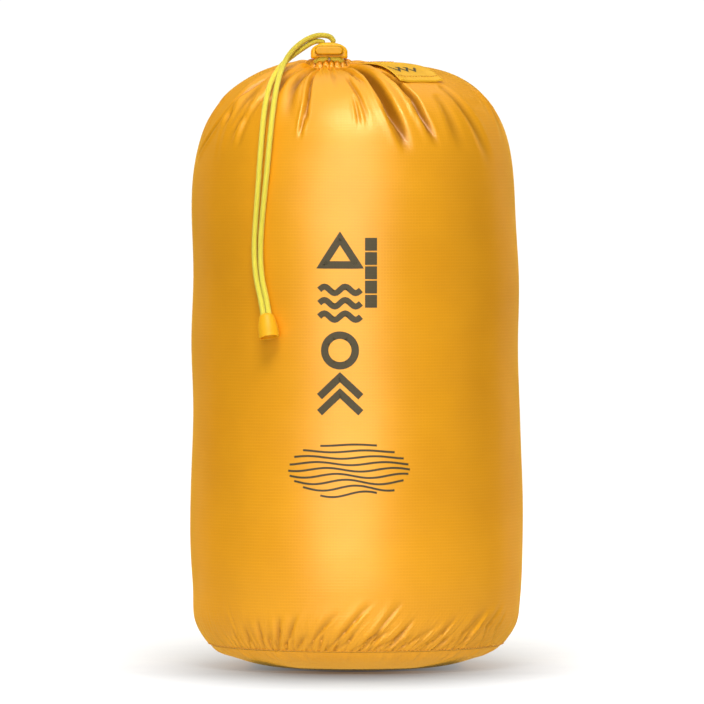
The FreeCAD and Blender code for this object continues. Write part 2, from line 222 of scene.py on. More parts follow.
def joined(name, parts):
    """One piece from several (verts, faces) pairs."""
    verts, faces, start = [], [], 0
    for v, f in parts:
        verts.append(np.asarray(v, float).reshape(-1, 3))
        faces += [[int(k) + start for k in face] for face in f]
        start += len(verts[-1])
    return mesh_piece(name, np.concatenate(verts), faces)


def add_painted_shade(piece, depth):
    """Stores for each vertex how much painted shade darkens its colour there, from 0 to 1."""
    layer = piece.data.attributes.new("painted_shade", "FLOAT", "POINT")
    layer.data.foreach_set("value", depth.reshape(-1).astype(np.float32))


def dress(piece, material):
    piece.data.materials.clear()
    piece.data.materials.append(material)
    return piece


def fit(piece, node, body="sack"):
    """Shows the piece in place of its CAD node, and moves it with a body."""
    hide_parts(node)
    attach(piece, body)
    return piece


# ---- materials -----------------------------------------------------------------------------------
class Nodes:
    """Short calls for building one material's nodes."""

    def __init__(self, name):
        self.material = bpy.data.materials.new(name)
        self.material.use_nodes = True
        self.tree = self.material.node_tree
        self.shader = self.tree.nodes["Principled BSDF"]

    def new(self, kind, **settings):
        node = self.tree.nodes.new(kind)
        for key, value in settings.items():
            setattr(node, key, value)
        return node

    def wire(self, value, socket):
        if isinstance(value, bpy.types.NodeSocket):
            self.tree.links.new(value, socket)
        else:
            socket.default_value = (*value, 1.0) if socket.type == "RGBA" else value

    def maths(self, operation, *values):
        node = self.new("ShaderNodeMath", operation=operation)
        for value, socket in zip(values, node.inputs):
            self.wire(value, socket)
        return node.outputs[0]

    times = partialmethod(maths, "MULTIPLY")
    plus = partialmethod(maths, "ADD")
    minus = partialmethod(maths, "SUBTRACT")
    over = partialmethod(maths, "DIVIDE")
    power = partialmethod(maths, "POWER")
    larger = partialmethod(maths, "MAXIMUM")
    line = partialmethod(maths, "MULTIPLY_ADD")  # value, slope, start

    def noise(self, vector, scale, detail):
        node = self.new("ShaderNodeTexNoise")
        self.wire(vector, node.inputs["Vector"])
        node.inputs["Scale"].default_value = scale
        node.inputs["Detail"].default_value = detail
        return node.outputs["Fac"]

    def mix(self, factor, a, b):
        node = self.new("ShaderNodeMix", data_type="RGBA")
        self.wire(factor, node.inputs[0])
        self.wire(a, node.inputs[6])
        self.wire(b, node.inputs[7])
        return node.outputs[2]

    def clamped(self, value):
        return self.maths("MINIMUM", self.larger(value, 0.0), 1.0)

    def pair(self, x, y):
        node = self.new("ShaderNodeCombineXYZ")
        self.wire(x, node.inputs[0])
        self.wire(y, node.inputs[1])
        return node.outputs[0]

    def split(self, vector):
        node = self.new("ShaderNodeSeparateXYZ")
        self.wire(vector, node.inputs[0])
        return list(node.outputs)

    def uv(self):
        both = self.new("ShaderNodeUVMap", uv_map="cloth").outputs[0]
        return both, *self.split(both)[:2]

    def place(self):
        return self.new("ShaderNodeTexCoord").outputs["Object"]

    # The painted shade stored on the vertices, from 0 to 1.
    def painted_shade(self):
        return self.new("ShaderNodeAttribute", attribute_name="painted_shade").outputs["Fac"]

    def bump(self, height, distance, strength=1.0, after=None):
        node = self.new("ShaderNodeBump")
        node.inputs["Strength"].default_value = strength
        node.inputs["Distance"].default_value = distance
        self.wire(height, node.inputs["Height"])
        if after is not None:
            self.wire(after, node.inputs["Normal"])
        return node.outputs[0]

    def set(self, **sockets):
        for key, value in sockets.items():
            self.wire(value, self.shader.inputs[key.replace("_", " ")])
        return self.material


def ridges(n, coordinate, pitch, sharpness):
    """1 on thin lines that repeat every pitch, falling to 0 between them."""
    wave = n.maths("COSINE", n.times(coordinate, math.pi / pitch))
    return n.power(n.maths("ABSOLUTE", wave), sharpness)


RIPSTOP_PITCH = 1.75 * MM
THREAD_PITCH = 0.30 * MM
FOLD_SHADE = (0.28, 0.095, 0.002)  # painted shade: the colour the fabric is darkened to deep in a fold


def gathers(n, u, v):
    """Fine gathers: short ones that fan up from the base seam and long ones that run into the drawn mouth."""
    slope = n.line(n.clamped(n.over(n.minus(u, 0.20), 0.12)), 1.0, -0.2)
    fan = n.pair(n.minus(u, n.times(v, slope)), n.times(v, 0.14))
    low = n.clamped(n.line(v, -1 / 0.034, 1.0))
    rays = n.pair(u, n.times(v, 0.10))
    high = n.clamped(n.over(n.minus(v, 0.315), 0.060))
    near_base = n.times(n.noise(fan, 330.0, 2.0), n.power(low, 1.4))
    near_mouth = n.times(n.noise(rays, 120.0, 2.0), high)
    return n.plus(near_base, near_mouth)


def ripstop(name, dark, light, roughness=0.39, satin=0.12, gathered=False):
    """Coated nylon with its ripstop grid, thread weave, soft colour changes and satin gloss, with painted shade
    darkening it in its folds.
    """
    n = Nodes(name)
    uv, u, v = n.uv()
    across = ridges(n, v, RIPSTOP_PITCH, 14)
    upright = ridges(n, u, RIPSTOP_PITCH, 20)
    grid = n.larger(across, n.times(upright, 0.55))
    weave = n.times(ridges(n, u, THREAD_PITCH, 2), ridges(n, v, THREAD_PITCH, 2))
    grain = n.noise(uv, 900.0, 1.0)
    tone = n.plus(n.line(n.noise(uv, 28.0, 3.0), 0.55, n.times(grid, 0.20)), n.times(grain, 0.12))
    creased = n.bump(gathers(n, u, v), 1.5 * MM) if gathered else None
    fine = n.bump(n.plus(n.times(weave, 0.35), grain), 0.02 * MM, 0.5, creased)
    return n.set(
        # Painted shade: the colour goes towards FOLD_SHADE as far as the vertices' painted shade says.
        Base_Color=n.mix(n.painted_shade(), n.mix(tone, dark, light), FOLD_SHADE),
        Roughness=n.line(n.noise(uv, 60.0, 2.0), 0.10, roughness - 0.05),
        Normal=n.bump(grid, 0.05 * MM, 0.8, fine),
        Metallic=satin,
        Sheen_Weight=0.45,
        Sheen_Roughness=0.28,
        Sheen_Tint=(1.0, 0.62, 0.05),
        IOR=1.46,
        Specular_IOR_Level=0.75,
    )


def plain_cloth(name, dark, light, pitch):
    """A plain woven or knitted cloth in place coordinates, for pieces with no cloth map."""
    n = Nodes(name)
    place = n.place()
    x, _, z = n.split(place)
    weave = n.plus(ridges(n, x, pitch, 2), ridges(n, z, pitch, 2))
    return n.set(
        Base_Color=n.mix(n.noise(place, 60.0, 3.0), dark, light),
        Roughness=0.75,
        Sheen_Weight=0.3,
        Normal=n.bump(weave, 0.1 * MM, 0.6),
    )


def braid(name, dark, light):
    """Polyester cord: the strands are geometry, and each has fine threads along it. Painted shade stored on the
    vertices darkens its colour.
    """
    n = Nodes(name)
    uv, u, v = n.uv()
    threads = ridges(n, n.plus(n.times(u, 2.2), v), 0.28 * MM, 2)
    tone = n.line(threads, 0.25, n.line(n.noise(uv, 700.0, 2.0), 0.35, 0.45))
    return n.set(
        Base_Color=n.mix(n.times(tone, n.minus(1.0, n.painted_shade())), dark, light),
        Roughness=0.55,
        Sheen_Weight=0.35,
        Sheen_Tint=(1.0, 1.0, 0.6),
        Normal=n.bump(threads, 0.05 * MM, 0.7),
    )


def moulded(name, dark, light, roughness, glow):
    """Moulded plastic, a little see-through where glow is above 0, with faint flow marks."""
    n = Nodes(name)
    place = n.place()
    fine = n.noise(place, 1400.0, 1.0)
    return n.set(
        Base_Color=n.mix(n.noise(place, 160.0, 3.0), dark, light),
        Roughness=n.line(fine, 0.12, roughness - 0.06),
        IOR=1.49,
        Subsurface_Weight=glow,
        Subsurface_Radius=(1.0, 0.35, 0.08),
        Subsurface_Scale=2.5 * MM,
        Specular_IOR_Level=0.25,
        Normal=n.bump(fine, 0.02 * MM, 0.4),
    )


def ink(name, colour):
    """Screen-printed ink: matt, with the weave showing through it."""
    n = Nodes(name)
    uv, u, v = n.uv()
    grid = n.larger(ridges(n, v, RIPSTOP_PITCH, 14), ridges(n, u, RIPSTOP_PITCH, 20))
    worn = n.times(n.noise(uv, 420.0, 3.0), 0.5)
    return n.set(
        Base_Color=n.mix(n.line(grid, 0.25, worn), colour, tuple(1.5 * c for c in colour)),
        Roughness=0.62,
        Normal=n.bump(grid, 0.05 * MM, 0.6),
    )


def steel(name):
    n = Nodes(name)
    drawn = n.noise(n.place(), 2500.0, 1.0)
    return n.set(Base_Color=(0.6, 0.6, 0.62), Metallic=1.0, Roughness=n.line(drawn, 0.15, 0.2))


FABRIC = ripstop("golden_ripstop", (0.74, 0.298, 0.004), (0.95, 0.425, 0.006), gathered=True)
BASE_FABRIC = ripstop("golden_ripstop_base", (0.74, 0.290, 0.004), (0.92, 0.415, 0.006))
LABEL_FABRIC = ripstop("label_ribbon", (0.74, 0.38, 0.004), (0.92, 0.50, 0.014), 0.5, 0.1)
THREAD = braid("sewing_thread", (0.55, 0.20, 0.005), (0.80, 0.33, 0.01))
CORD = braid("lemon_cord", (0.56, 0.40, 0.008), (1.0, 0.93, 0.08))
INK = ink("olive_ink", (0.056, 0.041, 0.013))
LOCK = moulded("amber_plastic", (0.70, 0.33, 0.004), (0.86, 0.46, 0.008), 0.40, 0.15)
BUTTON = moulded("amber_plastic_button", (0.60, 0.28, 0.004), (0.72, 0.36, 0.008), 0.42, 0.05)
BELL = moulded("golden_plastic", (0.80, 0.38, 0.008), (0.88, 0.45, 0.015), 0.42, 0.15)
STEEL = steel("spring_wire")
STUFFING = plain_cloth("packed_clothing", (0.03, 0.035, 0.045), (0.10, 0.11, 0.13), 1.2 * MM)


# ---- the body's smooth form ----------------------------------------------------------------------
FULLER = [  # where the stuffing pushes the side out: azimuth and height, their reaches, and how far
    (180, 0.284, 55, 0.036, 2.6), (180, 0.027, 60, 0.014, 1.9), (0, 0.052, 60, 0.038, 2.0),
    (0, 0.024, 60, 0.010, 1.2), (0, 0.120, 60, 0.045, 0.8),
]


def fullness(theta, z):
    total = 0.0
    for azimuth, height, wide, tall, push in FULLER:
        turn = wrapped(theta - math.radians(azimuth))
        total = total + push * MM * np.exp(-((turn / math.radians(wide)) ** 2) - ((z - height) / tall) ** 2)
    return total


class Body:
    """The stuffed shape before its creases: a tube whose rows go from the base seam up to the drawn mouth."""

    SHIFT_R = 0.088  # rows narrower than this lean towards the mouth
    RIM_R = 0.0126  # where the body goes under the hem
    TUCK = 4.0 * MM  # how far it goes on, down and inwards, out of sight
    WALL = 0.056, 0.272  # the heights between which the wall is smooth, so its rows are further apart

    def __init__(self):
        curve, length = through(BODY_OUTLINE)
        self.length, self.radius, self.height = length, curve[:, 0], curve[:, 1]
        widest = int(np.argmax(self.radius))
        self.dome_r, self.dome_z = self.radius[widest:][::-1], self.height[widest:][::-1]
        end = float(np.interp(-self.RIM_R, -self.radius[widest:], length[widest:]))
        low, top = (float(np.interp(z, self.height, length)) for z in self.WALL)
        stops = [(0, low, BASE_STEP), (low, top, WALL_STEP), (top, end, TOP_STEP)]
        rows = [np.linspace(a, b, int(round((b - a) / step)), endpoint=False) for a, b, step in stops]
        self.s = np.concatenate(rows + [np.linspace(end, end + self.TUCK, 5)])
        self.end = end
        fine = np.linspace(0, 2 * math.pi, 4001)  # angle from the back, where the side seam is
        from_back = np.minimum(fine, 2 * math.pi - fine)
        crowd = 1 + 1.5 * gauss((fine - math.pi) / 1.2) + 1.3 * gauss(from_back / 0.10)  # closest in front
        column = np.r_[0, np.cumsum((crowd[1:] + crowd[:-1]) / 2)]
        self.column = column / column[-1] * COLUMNS
        self.turn = fine
        self.theta = BACK + np.interp(np.arange(COLUMNS), self.column, fine)

    def dome(self, x, y):
        """Height of the crown at a place seen from above, with its two hollows."""
        x, y = np.asarray(x, float), np.asarray(y, float)
        behind = np.exp(-(((x - 0.022) / 0.036) ** 2 + ((y + 0.012) / 0.050) ** 2))
        ahead = gauss((x - MOUTH.x) / 0.019) * smoothstep(-0.008, -0.026, y) * smoothstep(-0.064, -0.036, y)
        return np.interp(np.hypot(x, y), self.dome_r, self.dome_z) - 2.3 * MM * behind - 3.0 * MM * ahead

    def points(self, s, theta):
        """Places on the smooth body at arc length s above the seam and angle theta round it."""
        s, theta = np.broadcast_arrays(np.asarray(s, float), np.asarray(theta, float))
        past = np.clip(s - self.end, 0, None)
        inside = np.minimum(s, self.end)
        r = np.interp(inside, self.length, self.radius) - 0.75 * past
        upper = inside > self.length[int(np.argmax(self.radius))]
        lean = np.where(upper, smoothstep(self.SHIFT_R, self.RIM_R, r), 0)
        x = MOUTH.x * lean + r * np.cos(theta)
        y = MOUTH.y * lean + r * np.sin(theta)
        domed = upper & (r < self.SHIFT_R)
        z = np.where(domed, self.dome(x, y), np.interp(inside, self.length, self.height))
        full = fullness(theta, z) * (1 - lean)
        return np.stack([x + full * np.cos(theta), y + full * np.sin(theta), z - 0.6 * past], axis=-1)


body = Body()
smooth_body = body.points(body.s[:, None], body.theta[None, :])
smooth_normals = grid_normals(smooth_body)


def at_mouth(angle, distance):
    """A place on the smooth body round the mouth, in degrees (0 is +X, -90 is the front) and millimetres."""
    a, r = math.radians(angle), distance * MM
    x, y = MOUTH.x + r * math.cos(a), MOUTH.y + r * math.sin(a)
    return np.array([x, y, float(body.dome(x, y))])


def on_wall(azimuth, z):
    """A place on the smooth body at an azimuth in degrees and a height in millimetres."""
    r = float(np.interp(z * MM, body.height, body.radius))
    a = math.radians(azimuth)
    return np.array([r * math.cos(a), r * math.sin(a), z * MM])


def on_front(x, z):
    """A place on the front of the smooth body, as it is seen from straight in front, in millimetres."""
    r = float(np.interp(z * MM, body.height, body.radius))
    return np.array([x * MM, -math.sqrt(max(r * r - (x * MM) ** 2, 0)), z * MM])


# ---- creases -------------------------------------------------------------------------------------
def crease(field, path, depth, width, end_width=None, start=1.0, fade=0.55, lip=0.4, power=2.0, side=0.0, skew=0.0):
    """Adds a fold to a height field over the smooth body: depth below zero is a valley, above zero a ridge.

    The path is a list of places. Its width goes from width to end_width, its depth from the share start up to
    the full depth, and it fades out after the share fade of its length. A lip of the other sign lies along
    both sides, stronger by side on the left one of someone who looks down the path from outside. The left wall
    is steeper than the right by skew. Sizes in millimetres.
    """
    path = np.array(path)
    steps = np.linalg.norm(np.diff(path, axis=0), axis=1)
    total, run = steps.sum(), 0.0
    end_width = width if end_width is None else end_width
    reach = 5 * max(width, end_width) * MM
    flat = smooth_body.reshape(-1, 3)
    near = np.all((flat > path.min(0) - reach) & (flat < path.max(0) + reach), axis=1)
    p, n = flat[near], smooth_normals.reshape(-1, 3)[near]
    best, along, signed = np.full(len(p), 1e9), np.zeros(len(p)), np.zeros(len(p))
    for a, b, step in zip(path, path[1:], steps):
        d = (b - a) / step
        t = np.clip((p - a) @ d, 0, step)
        off = p - a - t[:, None] * d
        distance = np.linalg.norm(off, axis=1)
        better = distance < best
        best[better] = distance[better]
        along[better] = (run + t[better]) / total
        signed[better] = (np.sign(np.einsum("ij,ij->i", np.cross(d, n), off)) * distance)[better]
        run += step
    w = (width + (end_width - width) * along) * MM * (1 - skew * np.sign(signed))
    t = signed / w
    shape = np.exp(-np.abs(t) ** power)
    for edge in (-1, 1):
        shape -= lip * (1 + side * edge) * gauss((t - 1.9 * edge) / 0.85)
    strength = (start + (1 - start) * smoothstep(0, 0.3, along)) * (1 - smoothstep(fade, 1.0, along))
    flat_field = field.reshape(-1)
    flat_field[np.flatnonzero(near)] += depth * MM * shape * strength


def front_fold(depth, width, end_width, *places, mouth=None, **shape):
    """A fold in front: from a place at the mouth, if there is one, through places seen from straight in front."""
    path = [at_mouth(*mouth)] if mouth else []
    path += [on_front(x, z) for x, z in places]
    return dict(path=path, depth=depth, width=width, end_width=end_width, **shape)


FRONT_FOLDS = [
    # The broad deep groove that runs down to the right from the drawn mouth, with a low ridge along its floor.
    front_fold(-7.0, 2.2, 3.4, (7.5, 338.2), (14.0, 328.5), (19.0, 318.5), (24.0, 308.0), (27.8, 298.0),
               (29.5, 291.0), mouth=(-55, 12.5), start=0.5, fade=0.66, lip=0.12, side=0.2, skew=0.15, power=3.0),
    front_fold(2.2, 0.9, 1.1, (10, 330.5), (16.5, 319.5), (22, 309), (26.8, 299), start=0.2, lip=0.2, fade=0.7),
    front_fold(-2.0, 1.0, 1.4, (-1.0, 338.5), (4.5, 334.0), (8.5, 326.0),
               mouth=(-68, 12.5), start=0.9, lip=0.2, fade=0.5, power=1.6),
    # The narrower one to the right of them.
    front_fold(-4.8, 1.3, 2.3, (20, 337.5), (33.5, 325.4), (37.6, 316.7), (42.5, 307.0), (45.6, 300.0), (47.2, 295.0),
               mouth=(-36, 14), start=0.4, fade=0.72, lip=0.16, side=0.8, skew=-0.2, power=2.4),
    front_fold(-1.3, 1.3, 1.8, (24, 332), (32, 321), (36, 309), start=0.4, fade=0.5, lip=0.2, skew=0.2),
    # The upright pair of creases to the left of the middle.
    front_fold(-3.0, 0.8, 1.3, (-25, 335.8), (-26.5, 326.3), (-27.8, 315.1), (-30.3, 301.5),
               mouth=(-106, 12.5), start=0.7, fade=0.70, lip=0.2, side=0.5, skew=-0.25, power=1.6),
    front_fold(-1.5, 0.9, 1.2, (-28.8, 320), (-30.6, 309), (-31.6, 300.5), start=0.3, fade=0.55, power=1.6),
    front_fold(-1.7, 1.6, 3.2, (-33.5, 335), (-37, 322), (-38, 308), mouth=(-116, 13), start=0.6, fade=0.55, lip=0.3),
    # Creases that run out to the left, under the cord tails.
    front_fold(-2.2, 1.4, 3.0, (-41.5, 335.8), (-49, 317.7), (-51, 304),
               mouth=(-128, 13), start=0.6, fade=0.6, lip=0.2),
    front_fold(-3.4, 1.5, 2.0, (-49.8, 337.0), (-58.0, 332.0), (-66.3, 325.0), (-72, 318),
               mouth=(-146, 12.5), start=0.7, fade=0.75, lip=0.2, side=-0.5, skew=0.3, power=1.6),
    front_fold(-3.2, 1.5, 2.0, (-70, 321), (-76.0, 312.5), (-82.0, 303), (-88.3, 289),
               start=0.3, fade=0.75, lip=0.2, side=-0.4, skew=0.3, power=1.6),
    front_fold(1.5, 1.8, 2.2, (-60, 319), (-64.4, 309), (-69, 294), start=0.3, fade=0.6, lip=0.35),
    front_fold(-1.3, 1.6, 2.4, (-55, 329), (-63, 314), (-74, 296), start=0.3, fade=0.5),
    # Small puckers between the middle and the deep grooves.
    front_fold(-1.5, 0.9, 1.3, (-3, 334), (1.8, 326.4), (5.6, 316.3), (8.0, 304),
               mouth=(-78, 13), start=0.5, fade=0.6, lip=0.2, power=1.6),
    front_fold(-0.9, 0.9, 1.3, (-1, 326), (1.5, 314), (2.2, 306), start=0.3, fade=0.5, power=1.6),
    front_fold(-1.2, 1.0, 1.5, (-12, 336), (-11, 329), mouth=(-90, 13), start=0.7, fade=0.4),
    # Long soft folds down the right shoulder.
    front_fold(-1.4, 2.4, 4.2, (50, 331), (62, 318), (72, 300), (78, 284), start=0.5, fade=0.5),
    front_fold(-1.0, 2.4, 4.5, (47, 325), (56, 308), (62, 290), start=0.4, fade=0.4),
]


def mouth_pleats(count, seed):
    """The valleys between the pleats round the mouth: uneven angles, sorted, in radians."""
    draw = np.random.default_rng(seed)
    gaps = draw.uniform(0.65, 1.35, count)
    return np.cumsum(gaps) / gaps.sum() * 2 * math.pi - math.pi


PLEATS = mouth_pleats(17, 5)


def pleat_shape(angle, valleys, roundness=0.62):
    """0 in each valley between two pleats and 1 on top of each pleat."""
    a = wrapped(angle)
    k = np.searchsorted(valleys, a) % len(valleys)
    low = valleys[k - 1]
    gap = (valleys[k] - low) % (2 * math.pi)
    return np.sin(np.pi * ((a - low) % (2 * math.pi)) / gap) ** roundness


def side_folds():
    """Folds that fan out from the mouth over the shoulder, all round except the front, which has its own."""
    draw = np.random.default_rng(11)
    folds = []
    for k in range(30):
        angle = -18 + k * 9.1 + draw.uniform(-3, 3)
        reach = draw.uniform(0.25, 1.0) ** 1.3
        near, far = at_mouth(angle, 12.5), 338 - 62 * reach
        azimuth = angle + draw.uniform(-7, 7)
        middle = on_wall(azimuth, min(341.0, far + 0.55 * (341 - far)))
        end = on_wall(azimuth + draw.uniform(-5, 5), far)
        deep = draw.uniform(0.8, 2.6) * (0.6 + 0.6 * reach)
        folds.append(dict(path=[near, (near + middle) / 2 + [0, 0, 1.5 * MM], middle, end], depth=-deep,
                          width=draw.uniform(1.2, 2.0), end_width=draw.uniform(2.0, 4.6), start=0.6,
                          fade=draw.uniform(0.45, 0.7), lip=draw.uniform(0.3, 0.5), side=draw.uniform(-0.5, 0.5),
                          power=draw.uniform(1.6, 2.0)))
    return folds


BASE_LEAN_AT = [-1.0, -0.75, -0.50, -0.30, 0.0, 0.4, 0.8, 1.0]  # place across the front, as a share of the radius
BASE_LEAN = [-18, -16, 2, 24, 42, 46, 40, 30]  # degrees to the right of upright there


def base_creases():
    """Short creases that fan up from the base seam. In front they lean more and more to the right."""
    draw = np.random.default_rng(23)
    folds = []
    for k in range(104):
        azimuth = -180 + k * 360 / 104 + draw.uniform(-1.5, 1.5)
        front = math.sin(math.radians(azimuth + 180))  # +1 is the front
        side_x = math.cos(math.radians(azimuth))
        lean = np.interp(side_x, BASE_LEAN_AT, BASE_LEAN) if front > -0.1 else 22 * math.sin(3 * math.radians(azimuth))
        tall = draw.uniform(5, 16) + (draw.uniform(6, 18) if draw.random() < 0.3 else 0)
        sweep = math.degrees(tall * math.tan(math.radians(lean + draw.uniform(-9, 9))) / 90.0)
        start_z = SEAM_Z / MM + 0.4
        bend = draw.uniform(-0.8, 0.8)
        path = [on_wall(azimuth, start_z), on_wall(azimuth + 0.45 * sweep + bend, start_z + 0.5 * tall),
                on_wall(azimuth + sweep, start_z + tall)]
        folds.append(dict(path=path, depth=-draw.uniform(0.6, 1.5), width=draw.uniform(0.65, 0.9),
                          end_width=draw.uniform(0.9, 1.5), start=0.7, fade=0.35, lip=0.3,
                          side=draw.uniform(-0.4, 0.4), skew=draw.uniform(0.1, 0.5), power=1.4))
    return folds


LONG_BASE_FOLDS = [  # the larger ones in front: (x at the seam, x and z half way, x and z at the end, depth)
    (-64, -66.5, 20, -69.0, 27, -0.9), (-59, -60.0, 21, -61.5, 29, -1.1), (-51, -52.5, 22, -54.0, 33, -1.3),
    (-46, -47.5, 18, -48.5, 24, -1.0), (-43, -42.5, 24, -42.0, 35, -1.4), (-39.5, -36.0, 24, -32.0, 36, -1.2),
    (-34, -30.5, 18, -27.0, 24, -1.0), (-12, -4.0, 19, 1.0, 25, -0.9), (2, 10.0, 19, 22.0, 27, -1.0),
    (14, 22.0, 18, 33.0, 28, -1.1), (-27, -20.0, 24, -8.0, 37, -1.2), (-17, -6.0, 24, 11.5, 43, -1.5),
    (-2, 12.0, 23, 28.5, 44, -1.6), (8, 22.0, 20, 36.0, 34, -1.1), (22, 36.0, 21, 46.0, 30, -1.0),
    (36, 50.0, 24, 58.0, 34, -1.3), (45, 49.0, 17, 54.0, 22, -1.0), (60, 66.0, 23, 76.0, 35, 2.3),
    (55, 61.0, 23, 71.0, 34, -1.2), (70, 73.5, 26, 82.0, 38, -1.7), (76, 79.0, 25, 85.0, 37, -1.4),
]


def long_base_folds():
    folds = []
    for x0, x1, z1, x2, z2, depth in LONG_BASE_FOLDS:
        path = [on_front(x0, 13.2), on_front(x1, z1), on_front(x2, z2)]
        folds.append(dict(path=path, depth=1.2 * depth, width=0.9, end_width=2.0, start=0.5, fade=0.55, lip=0.3,
                          skew=0.45, power=1.5))
    return folds


def soft_lumps(theta, z):
    """The slow rise and fall of fabric over packed clothing."""
    draw = np.random.default_rng(3)
    total = np.zeros(np.broadcast(theta, z).shape)
    for _ in range(14):
        turns, tall = draw.integers(1, 6), draw.uniform(0.06, 0.20)
        total = total + draw.uniform(0.3, 1.0) * np.cos(turns * theta + draw.uniform(0, 6.3)) * np.cos(
            2 * math.pi * z / tall + draw.uniform(0, 6.3))
    return 0.32 * MM * total * smoothstep(0.014, 0.05, z) * (1 - smoothstep(0.30, 0.34, z))


SIDE_SEAM_WIDTH = 10 * MM
SIDE_STITCH = 3.2 * MM  # from the seam's middle to each row of its stitches
SIDE_SEAM_END = np.interp(0.318, body.height, body.length)  # arc length at its upper end


def side_seam_relief(theta, s, r):
    """The felled seam up the back: a low flat ridge, puckered along its two rows of stitches."""
    across = np.abs(wrapped(theta - BACK) * r)
    ridge = 0.45 * MM * (1 - smoothstep(SIDE_SEAM_WIDTH / 2 - 0.8 * MM, SIDE_SEAM_WIDTH / 2 + 0.8 * MM, across))
    groove = -0.35 * MM * gauss((across - SIDE_STITCH) / (0.9 * MM))
    wave = np.sin(2 * math.pi * s / (11 * MM) + 2 * np.sin(s / (23 * MM)))
    pucker = 0.28 * MM * wave * gauss(across / (8 * MM))
    return (ridge + groove + pucker) * (1 - smoothstep(0.30, 0.325, s))


def body_heights():
    s, theta = body.s[:, None], body.theta[None, :]
    z = smooth_body[..., 2]
    distance = np.hypot(smooth_body[..., 0] - MOUTH.x, smooth_body[..., 1] - MOUTH.y)
    angle = np.arctan2(smooth_body[..., 1] - MOUTH.y, smooth_body[..., 0] - MOUTH.x)
    field = soft_lumps(theta, z)
    r = np.interp(np.minimum(s, body.end), body.length, body.radius)
    field = field + side_seam_relief(theta, s, r)
    on_top = z > 0.30
    close = np.where(on_top, 1 - smoothstep(12.5 * MM, 27 * MM, distance), 0)
    field = field + (pleat_shape(angle, PLEATS) - 0.7) * 3.2 * MM * close
    wide = np.where(on_top, smoothstep(14 * MM, 22 * MM, distance) * (1 - smoothstep(26 * MM, 52 * MM, distance)), 0)
    field = field + (pleat_shape(angle, PLEATS[::2], 0.8) - 0.7) * 1.1 * MM * wide
    folded = np.zeros_like(field)
    for fold in FRONT_FOLDS + side_folds() + base_creases() + long_base_folds():
        crease(folded, **fold)
    # Painted shade: darker deep in the folds and in the dimples between the pleats round the mouth.
    dimple = np.clip(0.55 - pleat_shape(angle, PLEATS), 0, 1)
    dimple = dimple * np.where(on_top, 1 - smoothstep(13, 19, distance / MM), 0)
    painted_shade = np.clip(-folded / (2.6 * MM), 0, 0.85) + 1.6 * dimple
    field = field + folded
    seam = smoothstep(0, 3.0 * MM, s)  # the edge that is sewn to the base stays in line
    tucked = 1 - smoothstep(body.end, body.end + body.TUCK, s)
    return field * (0.25 + 0.75 * seam) * tucked - 0.45 * MM * (1 - smoothstep(0, 1.6 * MM, s)), np.clip(painted_shade, 0, 1)


def eased(points, pull):
    """Takes the hardest edges off a closed grid, row ends kept."""
    mean = (np.roll(points, 1, axis=1) + np.roll(points, -1, axis=1)) / 2
    return points + pull * (mean - points)


body_field, body_painted_shade = body_heights()
body_points = eased(smooth_body + smooth_normals * body_field[..., None], 0.15)
body_normals = grid_normals(body_points)


def on_cloth(arc, z, lift):
    """Places on the finished front of the body: arc length to the right of the middle and height, both arrays."""
    arc, z = np.broadcast_arrays(np.asarray(arc, float), np.asarray(z, float))
    s = np.interp(z, body.height, body.length)
    r = np.interp(z, body.height, body.radius)
    return on_grid(s, FRONT + arc / r, lift)


def on_grid(s, theta, lift=0.0):
    """Places on the finished body at arc length s and angle theta, lifted off it along its normal."""
    j = np.interp(s, body.s, np.arange(len(body.s)))
    i = np.interp((np.asarray(theta) - BACK) % (2 * math.pi), body.turn, body.column) % COLUMNS
    j0 = np.minimum(j.astype(int), len(body.s) - 2)
    i0 = i.astype(int) % COLUMNS
    i1 = (i0 + 1) % COLUMNS
    fj, fi = (j - j0)[..., None], (i - np.floor(i))[..., None]
    place = 0
    for grid, weight in ((body_points, 1.0), (body_normals, lift)):
        low = grid[j0, i0] * (1 - fi) + grid[j0, i1] * fi
        high = grid[j0 + 1, i0] * (1 - fi) + grid[j0 + 1, i1] * fi
        place = place + weight * (low * (1 - fj) + high * fj)
    return place


AROUND_CLOTH = np.r_[body.theta - BACK, 2 * math.pi] * FLAT_R  # each column's place across the flat panel


def make_body():
    piece = dress(round_piece("body_panel_cloth", body_points, AROUND_CLOTH, body.s[:, None]), FABRIC)
    add_painted_shade(piece, body_painted_shade)
    return fit(piece, "body_panel")


# ---- the base ------------------------------------------------------------------------------------
def base_profile(share):
    """Radius and height of the base panel at a share of the way from its middle to the seam."""
    rise, run = SEAM_Z, SEAM_R - BASE_FLAT_R
    arc_r = (run**2 + rise**2) / (2 * rise)
    sweep = math.asin(run / arc_r)
    flat = 0.42
    angle = sweep * np.clip((share - flat) / (1 - flat), 0, 1)
    r = np.where(share < flat, BASE_FLAT_R * share / flat, BASE_FLAT_R + arc_r * np.sin(angle))
    return r, arc_r * (1 - np.cos(angle))


